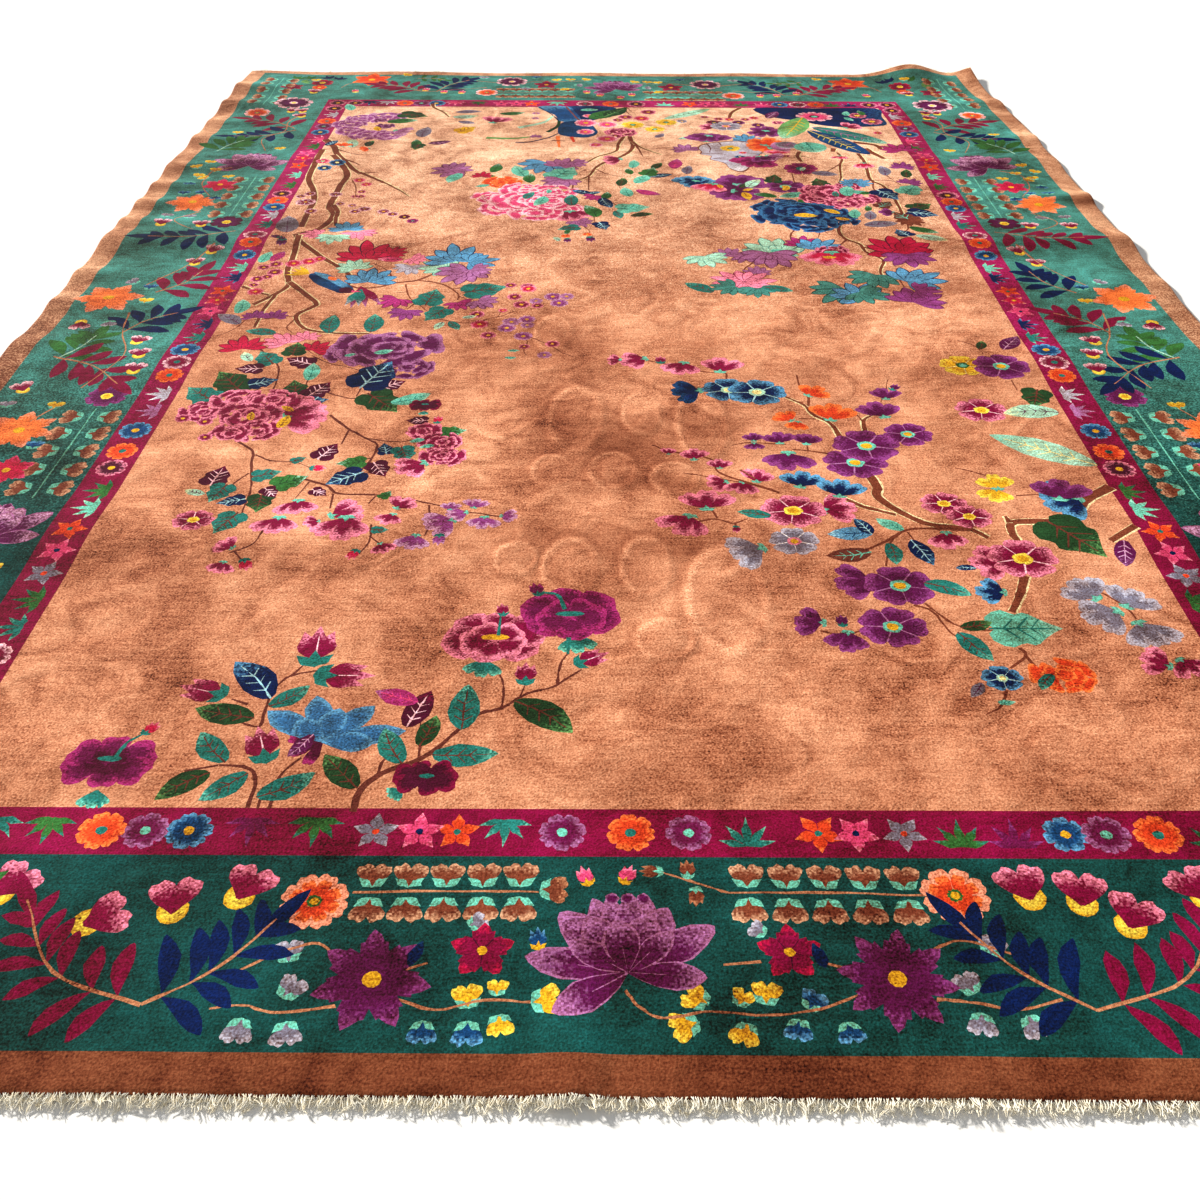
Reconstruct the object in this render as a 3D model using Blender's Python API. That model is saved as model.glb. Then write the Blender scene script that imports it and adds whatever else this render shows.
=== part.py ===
"""A large hand-knotted rug that lies on a floor as it fell, with its short warp fringe.

Three solids: the knotted rug itself, one sheet of pile and foundation, and at each
end a narrow woven web that holds the locks of the cut fringe. Metres, +Z up, with
the floor at Z = 0, the rug's length along Y and its far end towards +Y.
"""
import math
from collections import namedtuple

import bpy
import numpy as np

# ---- driving dimensions ---------------------------------------------------------

WIDTH = 3.05              # from side to side
LENGTH = 4.57             # between the roots of the two fringes
RUG_THICKNESS = 0.012     # pile and foundation together
JOINT_GAP = 0.0004        # between the rug and each end web

WEB_DEPTH = 0.008         # the woven web outside the pile
WEB_THICKNESS = 0.003
LOCKS_PER_END = 140
LOCK_LENGTH = 0.029       # a lock's mean length from the web
LOCK_LENGTH_SPREAD = 0.006
LOCK_ROOT_SHARE = 0.62    # of the pitch between locks
LOCK_TIP_SHARE = 0.26
LOCK_TIP_THICKNESS = 0.0012
LOCK_LEAN = 0.005         # sideways, at a lock's tip

# ---- how the rug lies -----------------------------------------------------------

FAR_END_SLANT = 0.023     # the far end runs out of square: metres along for a metre across
SLANT_START = -0.6        # where along the rug the slant begins
LEFT_SIDE_DRAW = 0.010    # the left side is drawn in about its middle
RIGHT_SIDE_BULGE = 0.018  # the right side is pushed out
RIGHT_CORNER_DRAW = 0.045 # and is drawn in again at the far corner
FLOOR_CLEARANCE = 0.0015  # swells lower than this stay flat on the floor

Swell = namedtuple("Swell", "across along reach_across reach_along height")
SWELLS = (
    # the far right corner, kicked up into a ridge with a dip behind it
    Swell(1.27, 2.32, 0.12, 0.17, 0.046),
    Swell(1.54, 2.34, 0.07, 0.22, 0.036),
    # the far left corner and the far end
    Swell(-1.48, 2.10, 0.20, 0.30, 0.012),
    Swell(-0.85, 2.34, 0.30, 0.12, 0.009),
    Swell(-0.10, 2.34, 0.22, 0.10, 0.007),
    Swell(0.55, 2.32, 0.20, 0.10, 0.006),
    # the near end
    Swell(-0.05, -2.30, 0.05, 0.16, 0.008),
    Swell(-0.62, -2.31, 0.14, 0.10, 0.004),
    Swell(0.42, -2.31, 0.10, 0.12, 0.005),
    Swell(1.05, -2.10, 0.12, 0.30, 0.006),
    # low lumps in the field
    Swell(0.10, -0.62, 0.45, 0.16, 0.007),
    Swell(-0.35, 1.62, 0.50, 0.13, 0.006),
    Swell(0.62, 1.10, 0.35, 0.12, 0.006),
    Swell(-0.80, -1.15, 0.38, 0.10, 0.005),
    Swell(0.95, -1.62, 0.22, 0.20, 0.007),
)

# Creases left by folding run right across; they stand higher at the two sides.
Crease = namedtuple("Crease", "along reach height_middle height_sides")
CREASES = (
    Crease(1.16, 0.085, 0.003, 0.009),
    Crease(0.42, 0.085, 0.005, 0.017),
    Crease(-0.36, 0.120, 0.006, 0.008),
    Crease(-1.08, 0.110, 0.005, 0.008),
    Crease(-1.72, 0.100, 0.004, 0.006),
)
CREASE_SIDE_REACH = 0.55

# Short ripples along the two sides.
Ripple = namedtuple("Ripple", "along reach height")
RIPPLE_REACH_IN = 0.20
LEFT_RIPPLES = (
    Ripple(2.02, 0.060, 0.014),
    Ripple(1.80, 0.055, 0.014),
    Ripple(1.58, 0.050, 0.008),
    Ripple(1.38, 0.060, 0.013),
    Ripple(1.06, 0.055, 0.012),
    Ripple(0.89, 0.045, 0.011),
    Ripple(0.73, 0.045, 0.012),
    Ripple(0.57, 0.045, 0.012),
    Ripple(0.17, 0.050, 0.012),
    Ripple(-0.02, 0.050, 0.010),
    Ripple(-0.27, 0.060, 0.008),
    Ripple(-0.62, 0.070, 0.007),
)
RIGHT_RIPPLES = (
    Ripple(1.86, 0.070, 0.012),
    Ripple(1.42, 0.060, 0.010),
    Ripple(0.80, 0.055, 0.015),
    Ripple(0.10, 0.070, 0.008),
    Ripple(-0.60, 0.080, 0.007),
    Ripple(-1.30, 0.090, 0.006),
)

# ---- the grid that the sheet is built on ----------------------------------------

SIDE_COLUMNS = (0.0, 0.035, 0.075, 0.130, 0.200, 0.300, 0.420)   # in from each side
FIELD_COLUMNS = 8
ROW_PITCH_FINE = 0.048    # where the short ripples are
ROW_PITCH_COARSE = 0.105
FINE_ROWS_FROM = -0.40


def smooth_step(low, high, value):
    """Rises gently from 0 at low to 1 at high."""
    share = np.clip((np.asarray(value, dtype=float) - low) / (high - low), 0.0, 1.0)
    return share * share * (3.0 - 2.0 * share)


def bell(distance, reach):
    """A smooth bump, 1 at its middle."""
    return np.exp(-(np.asarray(distance, dtype=float) / reach) ** 2)


def plan(across, along):
    """Where a point of the flat rug lies on the floor."""
    across = np.asarray(across, dtype=float)
    along = np.asarray(along, dtype=float)
    to_right = across / WIDTH + 0.5
    left_shift = LEFT_SIDE_DRAW * bell(along + 0.3, 1.1)
    right_shift = RIGHT_SIDE_BULGE - RIGHT_CORNER_DRAW * smooth_step(1.5, LENGTH / 2, along)
    x = across + (1.0 - to_right) * left_shift + to_right * right_shift
    slant = FAR_END_SLANT * smooth_step(SLANT_START, LENGTH / 2, along)
    y = along - slant * across
    return x, y


def lift(across, along):
    """How far the rug's underside stands off the floor."""
    across = np.asarray(across, dtype=float)
    along = np.asarray(along, dtype=float)
    height = np.zeros(np.broadcast(across, along).shape)
    for swell in SWELLS:
        height = height + swell.height * (bell(across - swell.across, swell.reach_across)
                                          * bell(along - swell.along, swell.reach_along))
    from_side = WIDTH / 2 - np.abs(across)
    side_share = bell(from_side, CREASE_SIDE_REACH)
    for crease in CREASES:
        rise = crease.height_middle + (crease.height_sides - crease.height_middle) * side_share
        height = height + rise * bell(along - crease.along, crease.reach)
    for ripples, side in ((LEFT_RIPPLES, -1), (RIGHT_RIPPLES, 1)):
        reach_in = bell(WIDTH / 2 - side * across, RIPPLE_REACH_IN)
        for ripple in ripples:
            height = height + ripple.height * reach_in * bell(along - ripple.along, ripple.reach)
    return np.maximum(height - FLOOR_CLEARANCE, 0.0)


def grid_lines():
    """The columns and rows of the sheet's grid, closest where it ripples."""
    half_width, half_length = WIDTH / 2, LENGTH / 2
    left = [-half_width + inset for inset in SIDE_COLUMNS]
    right = [half_width - inset for inset in reversed(SIDE_COLUMNS)]
    inner = np.linspace(left[-1], right[0], FIELD_COLUMNS + 1)[1:-1]
    columns = np.concatenate([left, inner, right])
    coarse = math.ceil((FINE_ROWS_FROM + half_length) / ROW_PITCH_COARSE)
    fine = math.ceil((half_length - FINE_ROWS_FROM) / ROW_PITCH_FINE)
    rows = np.concatenate([np.linspace(-half_length, FINE_ROWS_FROM, coarse + 1)[:-1],
                           np.linspace(FINE_ROWS_FROM, half_length, fine + 1)])
    return columns, rows


def add_object(name, points, faces, colour, roughness):
    """One closed mesh with its own material, placed where it lies."""
    mesh = bpy.data.meshes.new(name)
    mesh.from_pydata(points, [], faces)
    mesh.update()
    piece = bpy.data.objects.new(name, mesh)
    bpy.context.scene.collection.objects.link(piece)
    material = bpy.data.materials.new(name + "_wool")
    material.use_nodes = True
    shader = material.node_tree.nodes["Principled BSDF"]
    shader.inputs["Base Color"].default_value = (*colour, 1.0)
    shader.inputs["Roughness"].default_value = roughness
    shader.inputs["Metallic"].default_value = 0.0
    mesh.materials.append(material)
    return piece


def build_pile_rug(columns, rows):
    """The knotted sheet: an upper and a lower skin on one grid, joined round the edge."""
    across, along = np.meshgrid(columns, rows)
    x, y = plan(across, along)
    under = lift(across, along)
    count = across.size
    lower = np.stack([x.ravel(), y.ravel(), under.ravel()], axis=1)
    upper = lower + (0.0, 0.0, RUG_THICKNESS)
    points = np.concatenate([lower, upper]).tolist()
    wide, deep = len(columns), len(rows)
    faces = []
    for row in range(deep - 1):
        for column in range(wide - 1):
            a = row * wide + column
            b, c, d = a + 1, a + wide + 1, a + wide
            faces.append((a, d, c, b))
            faces.append((a + count, b + count, c + count, d + count))
    border = list(range(wide))
    border += [row * wide + wide - 1 for row in range(1, deep)]
    border += [(deep - 1) * wide + column for column in range(wide - 2, -1, -1)]
    border += [row * wide for row in range(deep - 2, 0, -1)]
    for here, after in zip(border, border[1:] + border[:1]):
        faces.append((here, after, after + count, here + count))
    return add_object("pile_rug", points, faces, (0.58, 0.24, 0.10), 0.95)


def end_edge(columns, end):
    """The rug's end as built: x, y and height of the underside at its grid columns."""
    along = np.full(len(columns), end * LENGTH / 2)
    x, y = plan(columns, along)
    return x, y, lift(columns, along)


def build_fringe(name, columns, end, seed):
    """The end web with its locks, one solid: each lock grows out of the web's outer face."""
    edge_x, edge_y, edge_z = end_edge(columns, end)
    chance = np.random.default_rng(seed)
    pitch = (edge_x[-1] - edge_x[0]) / LOCKS_PER_END
    gap = pitch * (1.0 - LOCK_ROOT_SHARE)
    # web stations: left side, then the two sides of each lock's root, then right side
    stations = [edge_x[0]]
    for lock in range(LOCKS_PER_END):
        start = edge_x[0] + lock * pitch + gap / 2
        stations += [start, start + pitch * LOCK_ROOT_SHARE]
    stations.append(edge_x[-1])
    stations = np.array(stations)
    inner_y = np.interp(stations, edge_x, edge_y) + end * JOINT_GAP
    outer_y = inner_y + end * WEB_DEPTH
    height = np.interp(stations, edge_x, edge_z)
    # a web section has four corners: inner low, inner high, outer high, outer low
    points = []
    for x, y_in, y_out, z in zip(stations, inner_y, outer_y, height):
        points += [(x, y_in, z), (x, y_in, z + WEB_THICKNESS),
                   (x, y_out, z + WEB_THICKNESS), (x, y_out, z)]
    faces = []
    last = len(stations) - 1
    for station in range(last):
        a, b = 4 * station, 4 * (station + 1)
        faces.append((a, a + 1, b + 1, b))
        faces.append((a + 1, a + 2, b + 2, b + 1))
        faces.append((a + 3, a, b, b + 3))
        is_lock = station % 2 == 1
        if is_lock:
            tip = len(points)
            middle = (stations[station] + stations[station + 1]) / 2
            middle = middle + chance.uniform(-LOCK_LEAN, LOCK_LEAN)
            reach = LOCK_LENGTH + chance.uniform(-LOCK_LENGTH_SPREAD, LOCK_LENGTH_SPREAD)
            tip_y = (outer_y[station] + outer_y[station + 1]) / 2 + end * reach
            half = pitch * LOCK_TIP_SHARE / 2
            # a lock droops from a raised web, no further than its own slope allows
            tip_z = max(0.0, (height[station] + height[station + 1]) / 2 - 0.5 * reach)
            top_z = tip_z + LOCK_TIP_THICKNESS
            points += [(middle - half, tip_y, tip_z), (middle - half, tip_y, top_z),
                       (middle + half, tip_y, top_z), (middle + half, tip_y, tip_z)]
            roots = (a + 3, a + 2, b + 2, b + 3)
            for side in range(4):
                after = (side + 1) % 4
                faces.append((roots[after], roots[side], tip + side, tip + after))
            faces.append((tip + 3, tip + 2, tip + 1, tip))
        else:
            faces.append((a + 2, a + 3, b + 3, b + 2))
    faces.append((0, 3, 2, 1))
    end_section = 4 * last
    faces.append((end_section, end_section + 1, end_section + 2, end_section + 3))
    if end > 0:
        faces = [tuple(reversed(face)) for face in faces]
    return add_object(name, points, faces, (0.66, 0.58, 0.44), 0.9)


def centre_on_origin(pieces):
    """Puts the origin under the middle of the whole rug's box, on the floor."""
    corners = np.array([vertex.co for piece in pieces for vertex in piece.data.vertices])
    middle = (corners.min(axis=0) + corners.max(axis=0)) / 2
    for piece in pieces:
        for vertex in piece.data.vertices:
            vertex.co.x -= middle[0]
            vertex.co.y -= middle[1]


for leftover in list(bpy.data.objects):
    bpy.data.objects.remove(leftover)

grid_columns, grid_rows = grid_lines()
sheet_and_fringes = [
    build_pile_rug(grid_columns, grid_rows),
    build_fringe("fringe_near", grid_columns, -1, seed=11),
    build_fringe("fringe_far", grid_columns, 1, seed=12),
]
centre_on_origin(sheet_and_fringes)
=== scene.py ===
import cmath
import math
from collections import namedtuple

import bpy
import numpy as np
from mathutils import Matrix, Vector
from mathutils.geometry import delaunay_2d_cdt


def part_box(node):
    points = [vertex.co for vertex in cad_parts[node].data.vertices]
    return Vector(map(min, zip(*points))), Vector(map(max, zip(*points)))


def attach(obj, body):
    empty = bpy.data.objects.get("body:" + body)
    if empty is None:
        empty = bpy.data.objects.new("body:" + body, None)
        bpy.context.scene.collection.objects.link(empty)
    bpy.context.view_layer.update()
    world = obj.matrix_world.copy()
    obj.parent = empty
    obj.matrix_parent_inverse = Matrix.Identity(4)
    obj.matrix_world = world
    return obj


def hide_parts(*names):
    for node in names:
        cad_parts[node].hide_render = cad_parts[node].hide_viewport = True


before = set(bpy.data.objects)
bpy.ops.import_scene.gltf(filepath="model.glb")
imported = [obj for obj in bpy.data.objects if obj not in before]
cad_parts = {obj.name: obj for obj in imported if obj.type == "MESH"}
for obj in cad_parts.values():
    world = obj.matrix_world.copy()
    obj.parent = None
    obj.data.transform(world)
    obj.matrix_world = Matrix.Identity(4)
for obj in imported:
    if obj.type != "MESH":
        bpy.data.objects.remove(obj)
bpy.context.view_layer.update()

# ---- The foundation --------------------------------------------------------------------
# Cotton warps and wefts, woven tight and packed down. Every knot of the pile is tied
# round two warps, so the back shows the knots as small ribs.
# It lies as the rug fell: lightly creased, rippled at the sides, one corner kicked up.

WIDTH = 3.05                 # from side to side
LENGTH = 4.57                # between the roots of the two fringes
FOUNDATION_THICKNESS = 0.004
FOUNDATION_PITCH = 0.03      # of its grid

FAR_END_SLANT = 0.023        # the far end runs out of square: metres along for a metre across
SLANT_START = -0.6
LEFT_SIDE_DRAW = 0.010
RIGHT_SIDE_BULGE = 0.018
RIGHT_CORNER_DRAW = 0.045
FLOOR_CLEARANCE = 0.0015

Swell = namedtuple("Swell", "across along reach_across reach_along height")
SWELLS = [Swell(*row) for row in (
    (1.27, 2.32, 0.12, 0.17, 0.046), (1.54, 2.34, 0.07, 0.22, 0.036),
    (-1.48, 2.10, 0.20, 0.30, 0.012), (-0.85, 2.34, 0.30, 0.12, 0.009),
    (-0.10, 2.34, 0.22, 0.10, 0.007), (0.55, 2.32, 0.20, 0.10, 0.006),
    (-0.05, -2.30, 0.05, 0.16, 0.008), (-0.62, -2.31, 0.14, 0.10, 0.004),
    (0.42, -2.31, 0.10, 0.12, 0.005), (1.05, -2.10, 0.12, 0.30, 0.006),
    (0.10, -0.62, 0.45, 0.16, 0.007), (-0.35, 1.62, 0.50, 0.13, 0.006),
    (0.62, 1.10, 0.35, 0.12, 0.006), (-0.80, -1.15, 0.38, 0.10, 0.005),
    (0.95, -1.62, 0.22, 0.20, 0.007),
)]
Crease = namedtuple("Crease", "along reach height_middle height_sides")
CREASES = [Crease(*row) for row in (
    (1.16, 0.085, 0.003, 0.009), (0.42, 0.085, 0.005, 0.017), (-0.36, 0.120, 0.006, 0.008),
    (-1.08, 0.110, 0.005, 0.008), (-1.72, 0.100, 0.004, 0.006),
)]
CREASE_SIDE_REACH = 0.55
Ripple = namedtuple("Ripple", "along reach height")
RIPPLE_REACH_IN = 0.20
LEFT_RIPPLES = [Ripple(*row) for row in (
    (2.02, 0.060, 0.014), (1.80, 0.055, 0.014), (1.58, 0.050, 0.008), (1.38, 0.060, 0.013),
    (1.06, 0.055, 0.012), (0.89, 0.045, 0.011), (0.73, 0.045, 0.012), (0.57, 0.045, 0.012),
    (0.17, 0.050, 0.012), (-0.02, 0.050, 0.010), (-0.27, 0.060, 0.008), (-0.62, 0.070, 0.007),
)]
RIGHT_RIPPLES = [Ripple(*row) for row in (
    (1.86, 0.070, 0.012), (1.42, 0.060, 0.010), (0.80, 0.055, 0.015), (0.10, 0.070, 0.008),
    (-0.60, 0.080, 0.007), (-1.30, 0.090, 0.006),
)]


def smooth_step(low, high, value):
    share = np.clip((value - low) / (high - low), 0.0, 1.0)
    return share * share * (3.0 - 2.0 * share)


def bell(distance, reach):
    return np.exp(-(distance / reach) ** 2)


def plan(across, along):
    """Where a point of the flat rug lies on the floor, before it is set in the frame."""
    to_right = across / WIDTH + 0.5
    left_shift = LEFT_SIDE_DRAW * bell(along + 0.3, 1.1)
    right_shift = RIGHT_SIDE_BULGE - RIGHT_CORNER_DRAW * smooth_step(1.5, LENGTH / 2, along)
    slant = FAR_END_SLANT * smooth_step(SLANT_START, LENGTH / 2, along)
    return across + (1.0 - to_right) * left_shift + to_right * right_shift, along - slant * across


def lift(across, along):
    """How far the rug's underside stands off the floor."""
    height = np.zeros(np.shape(across))
    for swell in SWELLS:
        height += swell.height * (bell(across - swell.across, swell.reach_across)
                                  * bell(along - swell.along, swell.reach_along))
    side_share = bell(WIDTH / 2 - np.abs(across), CREASE_SIDE_REACH)
    for crease in CREASES:
        rise = crease.height_middle + (crease.height_sides - crease.height_middle) * side_share
        height += rise * bell(along - crease.along, crease.reach)
    for ripples, side in ((LEFT_RIPPLES, -1), (RIGHT_RIPPLES, 1)):
        reach_in = bell(WIDTH / 2 - side * across, RIPPLE_REACH_IN)
        for ripple in ripples:
            height += ripple.height * reach_in * bell(along - ripple.along, ripple.reach)
    return np.maximum(height - FLOOR_CLEARANCE, 0.0)


edge_run = np.linspace(-0.5, 0.5, 400)
side_x = plan(np.full(400, -WIDTH / 2), edge_run * LENGTH)[0]
near_y = plan(edge_run * WIDTH, np.full(400, -LENGTH / 2))[1]
rug_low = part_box("pile_rug")[0]
set_x, set_y = rug_low.x - side_x.min(), rug_low.y - near_y.min()


def laid(flat, rise):
    """Points of the flat rug, as complex numbers across + along j, where they really lie."""
    x, y = plan(flat.real, flat.imag)
    return np.stack([x + set_x, y + set_y, lift(flat.real, flat.imag) + rise], axis=1)


def add_node(tree, kind, settings, values, output=0):
    """Any node: its settings come first, then the values or links of its sockets."""
    node = tree.nodes.new(kind)
    for name, setting in settings.items():
        setattr(node, name, setting)
    for name, value in values.items():
        if isinstance(value, Wire):
            tree.links.new(value.socket, node.inputs[name])
        else:
            node.inputs[name].default_value = value
    return Wire(tree, node.outputs[output])


class Wire:
    """A socket of a node tree; arithmetic on it adds the Math nodes."""

    def __init__(self, tree, socket):
        self.tree, self.socket = tree, socket

    def math(self, operation, first, second):
        return add_node(self.tree, "ShaderNodeMath", {"operation": operation}, {0: first, 1: second})

    def __add__(self, other):
        return self.math("ADD", self, other)

    def __sub__(self, other):
        return self.math("SUBTRACT", self, other)

    def __rsub__(self, other):
        return self.math("SUBTRACT", other, self)

    def __mul__(self, other):
        return self.math("MULTIPLY", self, other)

    __radd__ = __add__
    __rmul__ = __mul__


class Finish:
    """A material whose nodes are written as expressions on its wires."""

    def __init__(self, name, **constants):
        self.material = bpy.data.materials.new(name)
        self.material.use_nodes = True
        self.tree = self.material.node_tree
        self.shader = self.tree.nodes["Principled BSDF"]
        for socket, value in constants.items():
            self.shader.inputs[socket.replace("_", " ")].default_value = value

    def node(self, kind, settings, values, output=0):
        return add_node(self.tree, "ShaderNode" + kind, settings, values, output)

    def attribute(self, name, output):
        return self.node("Attribute", {"attribute_name": name}, {}, output)

    def noise(self, where, scale, detail=2.0):
        return self.node("TexNoise", {}, {"Vector": where, "Scale": scale, "Detail": detail})

    def stretched(self, where, x, y):
        return self.node("VectorMath", {"operation": "MULTIPLY"}, {0: where, 1: (x, y, 1.0)})

    def between(self, low, high, value):
        """0 below low and 1 above high, smoothly."""
        return self.node("MapRange", {"interpolation_type": "SMOOTHSTEP"},
                         {"Value": value, "From Min": low, "From Max": high})

    def blended(self, share, first, second):
        return self.node("Mix", {"data_type": "RGBA"}, {0: share, 6: first, 7: second}, 2)

    def scaled(self, colour, by):
        return self.node("VectorMath", {"operation": "SCALE"}, {0: colour, "Scale": by})

    def feed(self, socket, wire):
        self.tree.links.new(wire.socket, self.shader.inputs[socket])

    def bump(self, height, strength, distance):
        self.feed("Normal", self.node("Bump", {}, {"Height": height, "Strength": strength,
                                                   "Distance": distance}))


def dyed(red, green, blue):
    """A dye as it looks on screen, 0 to 255, in the light values that a shader takes."""
    shares = np.array([red, green, blue]) / 255.0
    linear = np.where(shares <= 0.04045, shares / 12.92, ((shares + 0.055) / 1.055) ** 2.4)
    return (*linear.tolist(), 1.0)


def add_piece(name, points, faces, material, smooth=True):
    """A mesh object at the origin, with its place in its mesh."""
    mesh = bpy.data.meshes.new(name)
    mesh.from_pydata(points, [], faces)
    mesh.polygons.foreach_set("use_smooth", np.full(len(faces), smooth))
    mesh.materials.append(material)
    piece = bpy.data.objects.new(name, mesh)
    bpy.context.scene.collection.objects.link(piece)
    return piece


back = Finish("knotted_back", Roughness=0.95)
spot = back.node("TexCoord", {}, {}, "Object")
ribs = back.node("TexWave", {"bands_direction": "Y"}, {"Vector": spot, "Scale": 90.0, "Distortion": 0.4})
tone = back.noise(spot, 5.0)
wool = back.blended(tone, dyed(150, 98, 66), dyed(186, 132, 94))
back.feed("Base Color", back.blended(ribs * 0.35, wool, dyed(206, 190, 160)))
back.bump(ribs, 0.6, 0.001)


def spaced(low, high, pitch):
    return np.linspace(low, high, round((high - low) / pitch) + 1)


across, along = np.meshgrid(spaced(-WIDTH / 2, WIDTH / 2, FOUNDATION_PITCH),
                            spaced(-LENGTH / 2, LENGTH / 2, FOUNDATION_PITCH))
deep, wide = across.shape
flat = (across + 1j * along).ravel()
slab_points = np.concatenate([laid(flat, 0.0), laid(flat, FOUNDATION_THICKNESS)])
slab_faces = []
for row in range(deep - 1):
    for column in range(wide - 1):
        here = row * wide + column
        square = (here, here + 1, here + wide + 1, here + wide)
        slab_faces.append(square[::-1])
        slab_faces.append(tuple(corner + flat.size for corner in square))
rim = [*range(wide), *(row * wide + wide - 1 for row in range(1, deep)),
       *((deep - 1) * wide + column for column in range(wide - 2, -1, -1)),
       *(row * wide for row in range(deep - 2, 0, -1))]
for here, after in zip(rim, rim[1:] + rim[:1]):
    slab_faces.append((here, after, after + flat.size, here + flat.size))
foundation = add_piece("foundation", slab_points, slab_faces, back.material)
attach(foundation, "root")
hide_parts("pile_rug")

# ---- The ground of the pile ------------------------------------------------------------
# Dyed wool, knotted row by row and clipped level. The design is drawn flat, from the
# ground up: each shape that is drawn later covers what is under it, as knots of
# another colour would. A rust margin, a jade border and a wine guard stripe run round
# a sand-coloured field.

DYES = dict(
    sand=(211, 138, 100), apricot=(244, 188, 150), rust=(122, 62, 36), camel=(206, 146, 108),
    tan=(186, 116, 78), cocoa=(122, 56, 34), sea=(68, 128, 114), claret=(160, 20, 78),
    bark=(102, 44, 32), cream=(244, 218, 160), jade=(16, 64, 58),
    wine=(130, 4, 50), maroon=(72, 4, 32), garnet=(124, 4, 48), crimson=(190, 14, 56),
    rose=(218, 62, 106), pink=(242, 130, 152), blush=(252, 190, 194), white=(246, 230, 224),
    scarlet=(220, 62, 24), orange=(246, 118, 52), salmon=(244, 152, 116),
    gold=(222, 160, 26), lemon=(240, 206, 66), straw=(244, 222, 140),
    plum=(88, 12, 62), violet=(142, 56, 116), mauve=(166, 96, 138), lilac=(206, 144, 174),
    orchid=(172, 40, 104), grape=(104, 14, 60),
    navy=(4, 22, 66), royal=(16, 60, 104), denim=(52, 102, 146), sky=(90, 148, 184), ice=(162, 204, 208),
    teal=(32, 110, 98), aqua=(104, 182, 154), mint=(170, 212, 180),
    forest=(30, 60, 28), leaf=(48, 98, 40), grass=(104, 152, 82),
    slate=(118, 106, 118), silver=(180, 166, 174),
)
SIDE_MARGIN, SIDE_BORDER, SIDE_STRIPE = 0.068, 0.336, 0.089
NEAR_MARGIN, NEAR_BORDER, NEAR_STRIPE = 0.054, 0.312, 0.091
FAR_MARGIN, FAR_BORDER, FAR_STRIPE = 0.047, 0.356, 0.0915
WOBBLE = 0.0006              # how far a knotted outline strays from a drawn one
SHEEN_START = -2.3            # where along the rug the painted sheen towards the far end begins

Shape = namedtuple("Shape", "outline core rim centre axis weights")
design = []
hand = np.random.default_rng(7)


def draw(outline, core, rim=None, centre=0j, axis=1.0, weights=(1.0, 1.0)):
    """One shape of one colour, or shaded from core at its centre to rim at the axis' length."""
    outline = np.asarray(outline, dtype=complex)
    after = np.roll(outline, -1)
    if (outline.real * after.imag - outline.imag * after.real).sum() < 0:
        outline = outline[::-1]
    if rim is None:
        rim, weights = core, (0.0, 0.0)
    stray = hand.normal(0.0, WOBBLE, (2, outline.size))
    design.append(Shape(outline + stray[0] + 1j * stray[1], core, rim, centre, axis, weights))


def draw_band(inset_side, near, far, colour, far_sheen, reach=2.6):
    """A ground band with painted sheen: its colour turns to the paler one towards the far end, where the
    pile is seen at a grazing angle.
    """
    half = WIDTH / 2 - inset_side
    corners = (-half + 1j * near, half + 1j * near, half + 1j * far, -half + 1j * far)
    design.append(Shape(np.array(corners), colour, far_sheen, 1j * SHEEN_START, reach, (0.0, 1.0)))


# each band is drawn paler towards the far end, as painted sheen
band_near, band_far = -LENGTH / 2, LENGTH / 2
draw_band(-0.1, band_near - 0.1, band_far + 0.1, "rust", "camel")
band_near, band_far = band_near + NEAR_MARGIN, band_far - FAR_MARGIN
draw_band(SIDE_MARGIN, band_near, band_far, "jade", "sea", reach=2.1)
band_near, band_far = band_near + NEAR_BORDER, band_far - FAR_BORDER
draw_band(SIDE_MARGIN + SIDE_BORDER, band_near, band_far, "wine", "claret")
band_near, band_far = band_near + NEAR_STRIPE, band_far - FAR_STRIPE
field_half = WIDTH / 2 - SIDE_MARGIN - SIDE_BORDER - SIDE_STRIPE
draw_band(WIDTH / 2 - field_half, band_near, band_far, "sand", "apricot", reach=3.8)

# ---- The motifs ------------------------------------------------------------------------
# A few shapes that the weavers' cartoons use again and again: petals, leaves and stems.
# Headings are in degrees from the rug's right side, so 90 points to the far end.


LEAF_POINTS = 7              # along each side of a leaf's outline


def toward(degrees):
    return cmath.exp(1j * math.radians(degrees))


def leaf_outline(base, tip, width, widest=0.45, blunt=0.8, bend=0.0, ripple=0.0, ripples=4):
    """A leaf or petal from base to tip: blunt 1 is pointed, 0.5 is round."""
    run = (1 - np.cos(np.pi * np.linspace(0.0, 1.0, LEAF_POINTS + 1))) / 2
    half = np.sin(np.pi * run ** (math.log(0.5) / math.log(widest))) ** blunt * width / 2
    half = half * (1 + ripple * np.sin(2 * np.pi * ripples * run))
    axis = tip - base
    side = 1j * axis / abs(axis)
    middle = base + axis * run + side * bend * np.sin(np.pi * run) * abs(axis)
    return np.concatenate([middle - side * half, (middle + side * half)[-2:0:-1]])


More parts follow.
